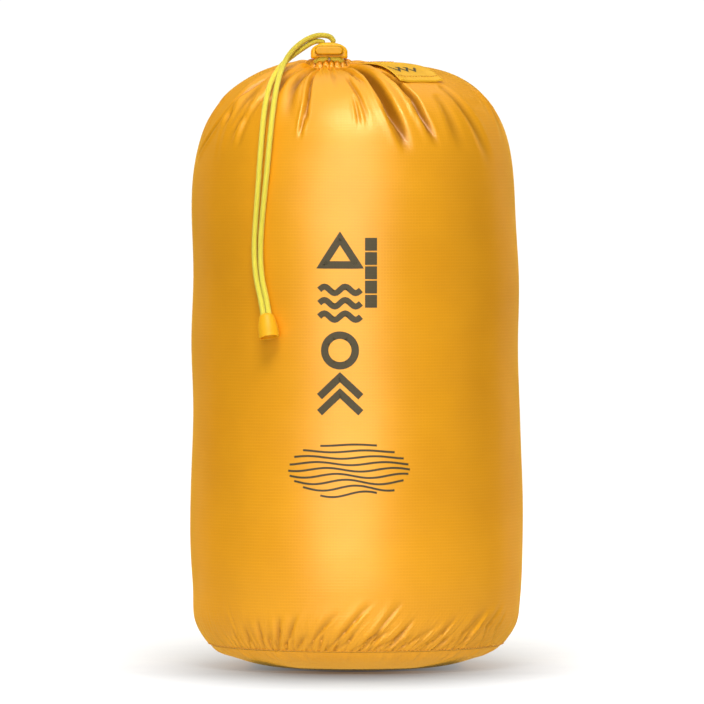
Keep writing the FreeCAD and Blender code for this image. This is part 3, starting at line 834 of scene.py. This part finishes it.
def make_base():
    """A disc whose rim meets the body's lower edge, a little puckered beside the seam."""
    share = np.r_[np.linspace(0.01, 0.5, 14), np.linspace(0.53, 0.9, 18), np.linspace(0.91, 1.0, 14)]
    r, z = base_profile(share)
    theta = body.theta
    rim = body_points[0]
    draw = np.random.default_rng(8)
    ripple = np.zeros(COLUMNS)
    for turns in (23, 37, 51, 74, 97):
        ripple += draw.uniform(0.4, 1.0) * np.cos(turns * theta + draw.uniform(0, 6.3))
    near = smoothstep(0.80, 0.94, share) * (1 - smoothstep(0.965, 1.0, share))
    points = polar(r[:, None], theta, z[:, None])
    puff = 0.7 * MM * smoothstep(0.75, 0.9, share) * (1 - smoothstep(0.955, 1.0, share))
    out = 0.22 * MM * near[:, None] * ripple + puff[:, None]
    points += polar(out * 0.5, theta, -out * 0.85)
    weld = smoothstep(0.93, 1.0, share)[:, None, None]
    points = points * (1 - weld) + (rim - [0, 0, 0.15 * MM]) * weld
    points[..., 2] = np.maximum(points[..., 2], 0)
    flat = polar(share[::-1, None] * BASE_DISC_R, np.r_[theta, theta[:1] + 2 * math.pi], 0.0)
    piece = round_piece("base_panel_cloth", points[::-1], flat[..., 0], flat[..., 1])
    close_middle(piece, (len(share) - 1) * COLUMNS)
    return fit(dress(piece, BASE_FABRIC), "base_panel")


def close_middle(piece, first):
    """Fills the small hole in the middle of a disc made as a grid. first is the innermost ring's first vertex."""
    with edited(piece) as mesh:
        ring = [mesh.verts[first + k] for k in range(COLUMNS)]
        middle = mesh.verts.new(sum((v.co for v in ring), Vector()) / COLUMNS)
        layer = mesh.loops.layers.uv["cloth"]
        for k in range(COLUMNS):
            face = mesh.faces.new((ring[k], ring[(k + 1) % COLUMNS], middle))
            face.smooth = True
            for loop in face.loops:
                loop[layer].uv = loop.vert.co.xy


# ---- stitches ------------------------------------------------------------------------------------
STITCH_PITCH, THREAD_R = 2.4 * MM, 0.22 * MM
SMALL_STITCH_PITCH, FINE_THREAD_R = 1.9 * MM, 0.2 * MM
STITCH_SHARE = 0.72  # how much of each pitch is thread: the rest is the gap after it
STITCH_BOW = 0.12 * MM
THREAD_SIDES = 6


def stitch(a, b, normal, radius, bow):
    """One stitch from a to b: a short thread that bows away from the cloth and dips into it at both ends."""
    along = (b - a) / np.linalg.norm(b - a)
    side = np.cross(along, normal)
    rings = []
    for t in (0.0, 0.12, 0.35, 0.65, 0.88, 1.0):
        thin = 0.45 if t in (0.0, 1.0) else 1.0
        centre = a + (b - a) * t + normal * (bow * math.sin(math.pi * t) - radius * 0.6 * (abs(2 * t - 1) ** 4))
        for k in range(THREAD_SIDES):
            angle = 2 * math.pi * k / THREAD_SIDES
            rings.append(centre + (side * math.cos(angle) + normal * math.sin(angle)) * radius * thin)
    return rings, capped_tube(6, THREAD_SIDES)


def stitches(path, normals, pitch, radius):
    """A row of stitches along a path of places, each pitch long with its gap."""
    run = run_length(path)
    count = max(1, int(run[-1] / pitch))
    real = run[-1] / count
    parts = []
    for k in range(count):
        start, end = (sampled(path, run, (k + part) * real) for part in (0, STITCH_SHARE))
        normal = normalised(sampled(normals, run, (k + STITCH_SHARE / 2) * real))
        parts.append(stitch(start, end, normal, radius, STITCH_BOW))
    return parts


def thread_piece(name, parts, cad_node, body="sack"):
    piece = dress(joined(name, parts), THREAD)
    map_plainly(piece)
    return fit(piece, cad_node, body)


def map_plainly(piece):
    """A cloth map for small pieces: place along X+Z and Y, in metres."""
    places = np.array([v.co for v in piece.data.vertices])
    map_vertices(piece, np.stack([places[:, 0] + places[:, 2], places[:, 1]], -1))


def make_base_stitches():
    ring = np.concatenate([body_points[1], body_points[1][:1]])
    out = normalised(np.concatenate([smooth_normals[0], smooth_normals[0][:1]]))
    parts = stitches(ring + out * 0.18 * MM, out, STITCH_PITCH, THREAD_R)
    thread_piece("base_seam_stitches", parts, "base_seam_stitching")


def make_side_stitches():
    parts = []
    s = np.linspace(2.5 * MM, SIDE_SEAM_END, 400)
    for side in (-1, 1):
        theta = BACK + side * SIDE_STITCH / np.interp(s, body.length, body.radius)
        normals = normalised(on_grid(s, theta, 1.0) - on_grid(s, theta, 0.0))
        parts += stitches(on_grid(s, theta, 0.12 * MM), normals, STITCH_PITCH, THREAD_R)
    thread_piece("side_seam_stitches", parts, "side_seam_stitching")


def inner_strip(name, s, theta, depth, node):
    """A turned-in edge of cloth inside the body, as a thin closed slab that follows it."""
    near, far = on_grid(s, theta, -depth), on_grid(s, theta, -depth - 0.5 * MM)
    loop = np.concatenate([near, far[:, ::-1]], axis=1)
    piece = mesh_piece(name, loop.reshape(-1, 3), capped_tube(*loop.shape[:2]))
    map_plainly(piece)
    fit(dress(piece, BASE_FABRIC), node)


def make_inner_strips():
    s = np.linspace(8 * MM, SIDE_SEAM_END, 160)[:, None]
    half = np.linspace(-SIDE_SEAM_WIDTH / 2, SIDE_SEAM_WIDTH / 2, 9)[None, :]
    inner_strip("side_seam_fold", s, BACK + half / np.interp(s, body.length, body.radius), 0.5 * MM, "side_seam")
    theta = np.linspace(0, 2 * math.pi, 241)[:, None]
    s = np.linspace(1.8 * MM, 8.0 * MM, 7)[None, :]
    inner_strip("base_seam_fold", s, theta, 0.4 * MM, "base_seam_allowance")


# ---- the hem and its cord ------------------------------------------------------------------------
def hem_rings():
    """The gathered hem: rounded lobes of cloth that fold over the cord, from outside, over the top, to the throat,
    with painted shade between the lobes.
    """
    angle = body.theta
    lobe = pleat_shape(angle, PLEATS, 0.55)
    finer = pleat_shape(angle + 0.35, PLEATS, 0.9)
    front = gauss(wrapped(angle - FRONT) / 0.42)
    foot = body.dome(MOUTH.x + 13.4 * MM * np.cos(angle), MOUTH.y + 13.4 * MM * np.sin(angle)) / MM
    rows, painted_shades = [], []
    section = [  # (distance from the mouth's centre, height, how much of the pleats shows), from outside inwards
        (15.8, 343.0, 0.1), (14.7, 343.9, 0.2), (13.8, 344.8, 0.35), (13.1, 345.6, 0.55), (12.7, 346.4, 0.8),
        (12.3, 347.2, 1.0), (11.8, 347.9, 1.0), (11.0, 348.5, 1.0), (10.0, 348.8, 1.0), (9.0, 348.6, 1.0),
        (8.0, 348.0, 1.0), (7.1, 347.0, 1.0), (6.4, 345.8, 1.0), (5.9, 344.4, 1.0), (5.5, 342.8, 1.0),
        (5.2, 341.0, 1.0), (5.0, 339.2, 1.0),
    ]
    curve, length = through(section, 400)
    for at in np.linspace(0, length[-1], 46):
        r, z, show = (np.interp(at, length, curve[:, k]) for k in range(3))
        top = smoothstep(343.0, 348.0, z)
        outer = smoothstep(7.5, 12.0, r)
        radial = r + (lobe - 0.72) * show * (1.2 * outer + 1.6 * (1 - outer)) + 0.2 * finer * top
        rise = (z - 344.2) / 4.6
        crest = 346.8 + (lobe - 0.72) * 1.3 - front * 0.9
        height = np.where(rise > 0, foot - 0.7 + rise * (crest - foot + 0.7), foot - 0.7 + (z - 344.2))
        rows.append(polar(radial * MM, angle, height * MM) + [MOUTH.x, MOUTH.y, 0])
        # Painted shade in the dimples between the lobes, over their upper part.
        painted_shades.append(np.clip((0.55 - lobe) / 0.4, 0, 1) * smoothstep(0.05, 0.35, rise) * outer)
    return np.array(rows), np.array(painted_shades)


def make_hem():
    points, painted_shades = hem_rings()
    up_cloth = body.end + np.linspace(0, 22 * MM, len(points))[:, None]
    piece = dress(round_piece("gathered_hem", points, AROUND_CLOTH, up_cloth), BASE_FABRIC)
    add_painted_shade(piece, painted_shades)
    fit(piece, "drawcord_channel")
    groove = 5  # the row of the hem where its stitches lie
    path, out = (np.concatenate([rows[groove], rows[groove][:1]]) for rows in (points, grid_normals(points)))
    parts = stitches(path + out * 0.1 * MM, out, SMALL_STITCH_PITCH, FINE_THREAD_R)
    thread_piece("hem_stitches", parts, "channel_stitching")


def make_bartacks():
    """Two bars of close stitches where the hem's ends stop and the cord comes out."""
    parts = []
    for side in (-1, 1):
        angle = FRONT + side * math.radians(50)
        out = normalised(polar(1.0, angle, 0.35))
        half = polar(0.9 * MM, angle + math.pi / 2, 0.0)
        for k in range(-3, 4):
            place = np.array(MOUTH) + polar(12.6 * MM, angle, (0.4 + 0.42 * k) * MM)
            parts.append(stitch(place - half, place + half, out, FINE_THREAD_R, 0.1 * MM))
    thread_piece("cord_exit_bartacks", parts, "exit_bartacks")


# ---- cords ---------------------------------------------------------------------------------------
def curve_points(route):
    """Points along the smooth NURBS line whose control points are the route's."""
    data = bpy.data.curves.new("route", "CURVE")
    data.dimensions = "3D"
    spline = data.splines.new("NURBS")
    spline.points.add(len(route) - 1)
    for point, place in zip(spline.points, route):
        point.co = (*place, 1.0)
    spline.order_u = 3
    spline.use_endpoint_u = True
    spline.resolution_u = 24
    carrier = link("route", data)
    line = bpy.data.meshes.new_from_object(carrier)
    places = np.array([v.co for v in line.vertices], float)
    bpy.data.objects.remove(carrier)
    bpy.data.curves.remove(data)
    bpy.data.meshes.remove(line)
    return places


def evenly(path, step):
    run = run_length(path)
    return sampled(path, run, np.linspace(0, run[-1], int(run[-1] / step))), run[-1]


def directions_across(path):
    """Two unit directions across a path that turn with it as little as they can."""
    tangents = normalised(np.gradient(path, axis=0))
    side = np.cross(tangents[0], [0.0, 0.0, 1.0] if abs(tangents[0][2]) < 0.9 else [1.0, 0.0, 0.0])
    sides = []
    for t in tangents:
        side = normalised(side - t * (side @ t))
        sides.append(side)
    return np.array(sides), np.cross(tangents, sides)


AROUND = 32  # points round a cord
BRAID_STRANDS = 8  # strands each way round the cord
BRAID_PITCH = 9.0 * MM  # length of one turn of a strand


def braided_cord(name, route, radius=CORD_R, shaded=0.0):
    """A braided cord as a mesh tube: two sets of strands wind opposite ways and pass over and under each other.

    Painted shade darkens its colour in the grooves between the strands, and by shaded where it arches over the lock.
    """
    path, length = evenly(curve_points(route), 0.22 * MM)
    a, b = directions_across(path)
    s = np.linspace(0, length, len(path))[:, None]
    angle = (np.arange(AROUND) * 2 * math.pi / AROUND)[None, :]
    lead = 2 * math.pi * s / BRAID_PITCH
    one = np.cos(BRAID_STRANDS / 2 * (angle + lead)) ** 2
    other = np.cos(BRAID_STRANDS / 2 * (angle - lead)) ** 2
    over = 0.5 + 0.5 * np.cos(BRAID_STRANDS * lead / 2) * np.cos(BRAID_STRANDS * angle / 2)
    height = np.maximum(one * (0.55 + 0.45 * over), other * (1 - 0.45 * over))
    ends = np.minimum(s, length - s)
    rounded = np.sqrt(np.clip(1 - (1 - np.clip(ends / (0.8 * radius), 0, 1)) ** 2, 0.02, 1))
    r = (radius + 0.26 * MM * (height - 0.6)) * rounded
    out = a[:, None] * np.cos(angle)[..., None] + b[:, None] * np.sin(angle)[..., None]
    around = np.arange(AROUND + 1) * 2 * math.pi / AROUND * radius
    piece = round_piece(name, path[:, None] + r[..., None] * out, around, s)
    # Painted shade: the share shaded over the lock's arch, and in the grooves between strands elsewhere.
    arch = shaded * smoothstep(0.336, 0.352, path[:, 2:])
    add_painted_shade(piece, np.clip(1.8 * (0.68 - height), 0, 1) * (1 - arch) + arch)
    with edited(piece) as mesh:
        for ring in (mesh.verts[:AROUND][::-1], mesh.verts[-AROUND:]):
            mesh.faces.new(ring).smooth = True
    dress(piece, CORD)
    return piece, path, length


def hem_cord_route():
    """Up through the lock, down into the hem, round it and up again: the cord that the sack holds."""
    corner_r = CHANNEL_R / math.cos(math.radians(15)) * 0.99  # the corners that make the smooth line a ring
    half = [tuple(polar(corner_r, math.radians(turn), 0.0)) for turn in range(-30, 91, 30)]
    climb = [(0.0026, -0.0075, 0.01095), (0.0026, -0.0075, 0.0082), (0.0026, -0.0075, 0.0056),
             (0.0012, -0.0096, 0.0033), (0.0062, -0.0098, 0.0034), (0.0082, -0.0070, 0.0012)]
    right = climb + half
    left = [(-x, y, z) for x, y, z in right[:-1]]
    return [tuple(MOUTH + Vector(p)) for p in right + left[::-1]]


def make_cords():
    pieces = {}
    for name, route in (("cord_tail_left", TAIL_LEFT), ("cord_tail_right", TAIL_RIGHT)):
        # Painted shade darkens the tails where they arch over the lock.
        pieces[name] = braided_cord(name, route, shaded=0.75)
        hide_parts(name.replace("cord", "drawcord"))
        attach(pieces[name][0], "cord_tails")
    held = braided_cord("hem_cord", hem_cord_route())[0]
    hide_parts("drawcord_in_channel")
    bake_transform(held)
    return pieces


def make_knot():
    """The overhand knot inside the bell: one cord that winds round the other in the bell's own frame."""
    low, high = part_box("cord_end_knot")
    centre = (low + high) / 2
    points = []
    for t in np.linspace(0, 2 * math.pi, 25):
        local = Vector((math.sin(t) + 2 * math.sin(2 * t), math.cos(t) - 2 * math.cos(2 * t), -1.2 * math.sin(3 * t)))
        points.append(centre + local * 0.62 * MM)
    piece = braided_cord("end_knot", points, 1.3 * MM)[0]
    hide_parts("cord_end_knot")
    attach(piece, "cord_tails")
    return piece


# ---- the print -----------------------------------------------------------------------------------
INK_LIFT = 0.14 * MM


def ribbon(points, width, closed=False, step=1.0 * MM):
    """A printed stroke along flat points (across, up), as a grid of flat places."""
    pts = np.array(points + points[:1] if closed else points, float)
    run = run_length(pts)
    marks = np.unique(np.round(np.r_[run, np.linspace(0, run[-1], int(run[-1] / step))], 5))
    line = sampled(pts, run, marks)
    if closed:
        ahead = normalised(np.roll(line[:-1], -1, axis=0) - line[:-1])
        ahead = np.concatenate([ahead, ahead[:1]])
        behind = np.concatenate([ahead[-2:-1], ahead[:-1]])
    else:
        ahead = normalised(np.diff(line, axis=0))
        behind = np.concatenate([ahead[:1], ahead])
        ahead = np.concatenate([ahead, ahead[-1:]])
    mean = normalised(ahead + behind)
    side = np.stack([-mean[:, 1], mean[:, 0]], -1)
    miter = 1 / np.maximum(np.einsum("ij,ij->i", mean, ahead), 0.5)
    lanes = np.linspace(-0.5, 0.5, 4)
    return line[:, None] + side[:, None] * (miter[:, None] * lanes)[..., None] * width


def patch(x0, z0, x1, z1):
    """A printed block as a grid of flat places."""
    xs, zs = (np.linspace(a, b, int((b - a) / (1.4 * MM)) + 1) for a, b in ((x0, x1), (z0, z1)))
    return np.stack(np.meshgrid(xs, zs, indexing="xy"), -1)


def printed(name, shapes, place_of):
    """A piece of ink from flat grids, where place_of puts a flat grid on its cloth."""
    parts = [(place_of(flat), grid_faces(*flat.shape[:2], False).tolist()) for flat in shapes]
    return dress(joined(name, parts), INK)


def circle(x, z, r, count=40):
    turns = (2 * math.pi * k / count for k in range(count))
    return [(x + r * math.cos(turn), z + r * math.sin(turn)) for turn in turns]


def make_print():
    """Generic trail signs in a column up the front, a ruler bar beside them and a lens of contour lines below."""
    heavy = 4.2 * MM  # width of a stroke
    left, right, z = -20.5 * MM, 3.0 * MM, 148 * MM  # the column's sides and foot
    middle = (left + right) / 2
    signs = []
    for foot in (z, z + 9 * MM):  # two peaks
        signs.append(ribbon([(left, foot), (middle, foot + 11 * MM), (right, foot)], heavy))
    signs.append(ribbon(circle(middle, z + 35 * MM, 8.6 * MM), heavy, closed=True))  # a sun
    for k in range(3):  # three lines of water
        wave = [(left + (right - left) * t, z + (54 + 7.5 * k + 1.8 * math.sin(4 * math.pi * t)) * MM)
                for t in np.linspace(0, 1, 25)]
        signs.append(ribbon(wave, 3.4 * MM))
    tent = [(left + 2 * MM, z + 83 * MM), (right - 2 * MM, z + 83 * MM), (middle, z + 98 * MM)]
    signs.append(ribbon(tent, heavy, closed=True))
    ruler = [patch(5.3 * MM, low * MM, 12.1 * MM, (low + 7.2) * MM) for low in range(207, 240, 8)]
    contours = []
    for k in range(9):
        t = (k - 4) / 4.5
        reach = 35 * MM * math.sqrt(1 - t * t)
        line = [(-4 * MM + x, (116 + 15.5 * t) * MM + (1.6 - 0.15 * k) * MM * math.sin(x / (6 * MM) + k * 0.9))
                for x in np.linspace(-reach, reach, 40)]
        contours.append(ribbon(line, 1.15 * MM))
    shapes = signs + ruler + contours
    piece = printed("printed_marks", shapes, lambda flat: on_cloth(flat[..., 0], flat[..., 1], INK_LIFT))
    map_vertices(piece, np.concatenate([flat.reshape(-1, 2) for flat in shapes]))
    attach(piece, "sack")
    return piece


# ---- the label -----------------------------------------------------------------------------------
LABEL_SEWN = np.array([0.009, -0.0115])  # the middle of its sewn edge, seen from above
LABEL_TURN = math.radians(-54.5)  # the way it lies
LABEL_WIDTH, LABEL_LENGTH = 0.030, 0.049
LABEL_THICK, LABEL_HEM_THICK = 0.55 * MM, 0.35 * MM


def label_place(along, across, lift):
    """A place on the label: it bends over the shoulder along its length and stays nearly straight across."""
    along, across, lift = np.broadcast_arrays(along, across, lift)
    ahead = np.array([math.cos(LABEL_TURN), math.sin(LABEL_TURN)])
    side = np.array([-ahead[1], ahead[0]])
    centre = LABEL_SEWN + along[..., None] * ahead
    flat = centre + across[..., None] * side
    edge = np.abs(across) / (LABEL_WIDTH / 2)
    middle_z = body.dome(centre[..., 0], centre[..., 1])
    own_z = body.dome(flat[..., 0], flat[..., 1])
    straight = 0.72 * smoothstep(0.0, 0.35 * LABEL_LENGTH, along)
    z = own_z + straight * (middle_z - own_z) * 0.9
    curl = 0.9 * MM * smoothstep(0.6, 1.0, edge) * smoothstep(0.3, 0.8, along / LABEL_LENGTH)
    wave = 0.35 * MM * np.sin(along / LABEL_LENGTH * 5.0 + across / LABEL_WIDTH * 2.2)
    return np.concatenate([flat, (z + 0.7 * MM + lift + curl + wave)[..., None]], -1)


def slab(name, along, across, base, thick):
    """A closed thin slab of label from ranges along and across it, its bottom at base above the label's place."""
    a, c = np.meshgrid(along, across, indexing="ij")
    top, under = label_place(a, c, base + thick), label_place(a, c, base)
    rounded = thick / 4
    left_edge = label_place(a[:, :1], c[:, :1] - rounded, base + thick / 2)
    right_edge = label_place(a[:, -1:], c[:, -1:] + rounded, base + thick / 2)
    loop = np.concatenate([top, right_edge, under[:, ::-1], left_edge], axis=1)
    flat_u, flat_v = (np.concatenate([m, m[:, -1:], m[:, ::-1], m[:, :1], m[:, :1]], axis=1) for m in (c, a))
    rows, cols = loop.shape[:2]
    piece = round_piece(name, loop, flat_u, flat_v)
    n = len(across)
    with edited(piece) as mesh:
        for start, flip in ((0, True), ((rows - 1) * cols, False)):
            ring = mesh.verts[start : start + cols]
            tops, right, unders, left = ring[:n], ring[n], ring[n + 1 : 2 * n + 1], ring[-1]
            quads = [[tops[k], tops[k + 1], unders[n - 2 - k], unders[n - 1 - k]] for k in range(n - 1)]
            quads += [[tops[-1], right, unders[0]], [left, tops[0], unders[-1]]]
            for quad in quads:
                mesh.faces.new(quad[::-1] if flip else quad)
        bmesh.ops.recalc_face_normals(mesh, faces=mesh.faces)
    return piece


def make_label():
    along = np.linspace(0, LABEL_LENGTH, 60)
    across = np.linspace(-LABEL_WIDTH / 2, LABEL_WIDTH / 2, 34)
    ribbon_piece = dress(slab("label_ribbon", along, across, 0.0, LABEL_THICK), LABEL_FABRIC)
    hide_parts("label")
    hem_along = np.linspace(LABEL_LENGTH - 4.5 * MM, LABEL_LENGTH - 0.1 * MM, 8)
    hem = dress(slab("label_hem", hem_along, across[1:-1], LABEL_THICK, LABEL_HEM_THICK), LABEL_FABRIC)
    peaks = []
    for foot in (-11.4, -6.0, -0.6):
        line = [(foot * MM, 32 * MM), ((foot + 3.8) * MM, 38 * MM), ((foot + 7.6) * MM, 32 * MM)]
        peaks.append(ribbon(line, 1.5 * MM, step=0.6 * MM))
    ink_lift = LABEL_THICK + 0.1 * MM
    mark = printed("label_mark", peaks, lambda flat: label_place(flat[..., 1], flat[..., 0], ink_lift))
    map_plainly(mark)
    parts = []
    sides = np.linspace(-LABEL_WIDTH / 2 + 1 * MM, LABEL_WIDTH / 2 - 1 * MM, 60)
    out = np.repeat([[0.2, -0.3, 0.93]], 60, 0)
    for at, lift in ((1.6 * MM, 0), (3.4 * MM, 0), (LABEL_LENGTH - 3.6 * MM, LABEL_HEM_THICK)):
        path = label_place(np.full(60, at), sides, LABEL_THICK + lift + 0.12 * MM)
        parts += stitches(path, out, SMALL_STITCH_PITCH, FINE_THREAD_R)
    sewing = thread_piece("label_stitches", parts, "label_stitching", "label_flap")
    for piece in (ribbon_piece, hem, mark):
        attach(piece, "label_flap")
    return ribbon_piece, [hem, mark, sewing]


# ---- what the sack holds -------------------------------------------------------------------------
def make_contents():
    """Packed clothing: a lumpy closed form inside the body, clear of every fold."""
    rows, cols, depth = 90, 120, 2.8 * MM
    curve, length = through([(0.0, 2.0 * MM), (0.040, 2.5 * MM), (0.072, 9 * MM), (0.084, 30 * MM), (0.0865, 70 * MM),
                             (0.0855, 180 * MM), (0.084, 262 * MM), (0.078, 300 * MM), (0.058, 324 * MM),
                             (0.030, 331 * MM), (0.0, 332 * MM)], 600)
    r, z = sampled(curve, length, np.linspace(0.5 * MM, length[-1] - 0.5 * MM, rows)).T[..., None]
    theta = np.arange(cols) * 2 * math.pi / cols
    draw = np.random.default_rng(17)
    lump = np.zeros((rows, cols))
    for _ in range(24):
        high, turns = draw.uniform(0.2, 1.0), draw.integers(2, 9)
        lump += high * np.abs(np.sin(turns * theta + draw.uniform(0, 6) + draw.uniform(-30, 30) * z))
    lump = (lump - lump.max()) / (lump.max() - lump.min())
    reach = r + depth * lump * smoothstep(0.002, 0.03, r)
    piece = mesh_piece("packed_clothing", polar(reach, theta, z).reshape(-1, 3), capped_tube(rows, cols))
    return fit(dress(piece, STUFFING), "packed_contents")


# ---- camera, light and floor ---------------------------------------------------------------------
def aimed(item, place, target):
    item.location = place
    item.rotation_euler = (Vector(target) - Vector(place)).to_track_quat("-Z", "Y").to_euler()
    return item


def make_camera():
    """A long lens, almost level, as the sack is pictured."""
    data = bpy.data.cameras.new("camera")
    target, distance, elevation = Vector((-0.002, 0, 0.1797)), 5.0, math.radians(1.5)
    data.lens, data.sensor_width = 447.0, 36.0
    data.clip_end = 50.0
    camera = link("camera", data)
    aimed(camera, target + distance * Vector((0, -math.cos(elevation), math.sin(elevation))), target)
    bpy.context.scene.camera = camera


def area_light(name, place, target, size, power, colour=(1.0, 1.0, 1.0)):
    data = bpy.data.lights.new(name, "AREA")
    data.shape, data.size, data.size_y = "RECTANGLE", size[0], size[1]
    data.energy, data.color = power, colour
    return aimed(link(name, data), place, target)


def make_lights():
    middle = (0, 0, 0.19)
    warm = (1.0, 0.86, 0.50)
    area_light("key_front", (-0.22, -1.95, 0.42), middle, (1.6, 1.5), 27.5)
    area_light("key_above", (-0.02, -1.0, 1.45), (0, -0.02, 0.26), (0.70, 0.42), 17)
    area_light("ceiling", (0.0, 0.4, 2.3), middle, (3.0, 3.0), 22)
    unseen = [  # these light the cloth but aren't mirrored in it
        area_light("bounce_front", (0.0, -0.19, 1.5 * MM), (0.0, -0.19, 1.0), (0.60, 0.29), 0.60),
        area_light("bounce_left", (-0.21, 0.06, 1.5 * MM), (-0.21, 0.06, 1.0), (0.30, 0.21), 0.21),
        area_light("bounce_right", (0.21, 0.06, 1.5 * MM), (0.21, 0.06, 1.0), (0.30, 0.21), 0.21),
        area_light("fill_left", (-1.7, -0.7, 0.4), middle, (0.6, 1.4), 1.1),
        area_light("fill_right", (1.7, -0.7, 0.4), middle, (0.6, 1.4), 2.1),
        area_light("rim_left", (-1.1, 1.1, 0.35), middle, (0.3, 1.4), 26, warm),
        area_light("rim_right", (1.1, 1.1, 0.35), middle, (0.3, 1.4), 26, warm),
    ]
    for light in unseen:
        light.visible_camera = light.visible_glossy = False


def make_world():
    """A dim room that the camera sees as plain white."""
    world = bpy.data.worlds.new("studio")
    bpy.context.scene.world = world
    world.use_nodes = True
    tree = world.node_tree
    tree.nodes.clear()
    path, mix, out = (tree.nodes.new("ShaderNode" + kind) for kind in ("LightPath", "MixShader", "OutputWorld"))
    tree.links.new(path.outputs["Is Camera Ray"], mix.inputs[0])
    for strength, socket in zip((0.08, 1.05), mix.inputs[1:]):
        shade = tree.nodes.new("ShaderNodeBackground")
        shade.inputs["Color"].default_value = (1, 1, 1, 1)
        shade.inputs["Strength"].default_value = strength
        tree.links.new(shade.outputs[0], socket)
    tree.links.new(mix.outputs[0], out.inputs[0])


def make_floor():
    """White paper that glows, with a painted shadow: its glow is dimmer in a soft pool round the sack."""
    n = Nodes("paper_floor")
    place = n.place()
    x, y, _ = n.split(place)
    reach = n.larger(n.line(y, 0.12, 0.1135), 0.03)  # half the pool's width
    across = n.over(n.maths("ABSOLUTE", n.plus(x, 0.003)), reach)
    back = n.plus(y, 0.066)  # the painted shadow is deepest on the line y = -0.066
    deep = n.larger(n.over(back, 0.30), n.over(back, -0.129))
    # The painted shadow's strength, 1 in the middle of the pool; it is taken off the glow.
    shade = n.maths("EXPONENT", n.times(n.plus(n.power(across, 2.4), n.power(deep, 1.5)), -1.0))
    paper = n.set(
        Base_Color=n.mix(n.noise(place, 40.0, 2.0), (0.16, 0.16, 0.165), (0.20, 0.20, 0.20)),
        Roughness=0.9,
        Emission_Color=(1.0, 1.0, 1.0),
        Emission_Strength=n.line(shade, -1.0, 1.03),
        Specular_IOR_Level=0.0,
    )
    half = 30.0
    corners = [(-half, -half, 0), (half, -half, 0), (half, half, 0), (-half, half, 0)]
    floor = dress(mesh_piece("floor", corners, [(0, 1, 2, 3)]), paper)
    floor.location.z = -0.05 * MM
    floor.visible_diffuse = floor.visible_glossy = False


# ---- everything together -------------------------------------------------------------------------
make_camera()
tails = make_cords()
knot = make_knot()

body_piece = make_body()
base_piece = make_base()
make_hem()
make_base_stitches()
make_side_stitches()
make_bartacks()
make_inner_strips()
print_piece = make_print()
label_piece, label_trim = make_label()
contents_piece = make_contents()

for node, material in {
    "lock_housing": LOCK,
    "lock_button": BUTTON,
    "lock_spring": STEEL,
    "cord_end_bell": BELL,
    "cord_end_plug": BELL,
}.items():
    dress(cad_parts[node], material)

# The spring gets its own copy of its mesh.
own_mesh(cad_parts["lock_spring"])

make_lights()
make_world()
make_floor()
bpy.context.scene.view_settings.view_transform = "Standard"
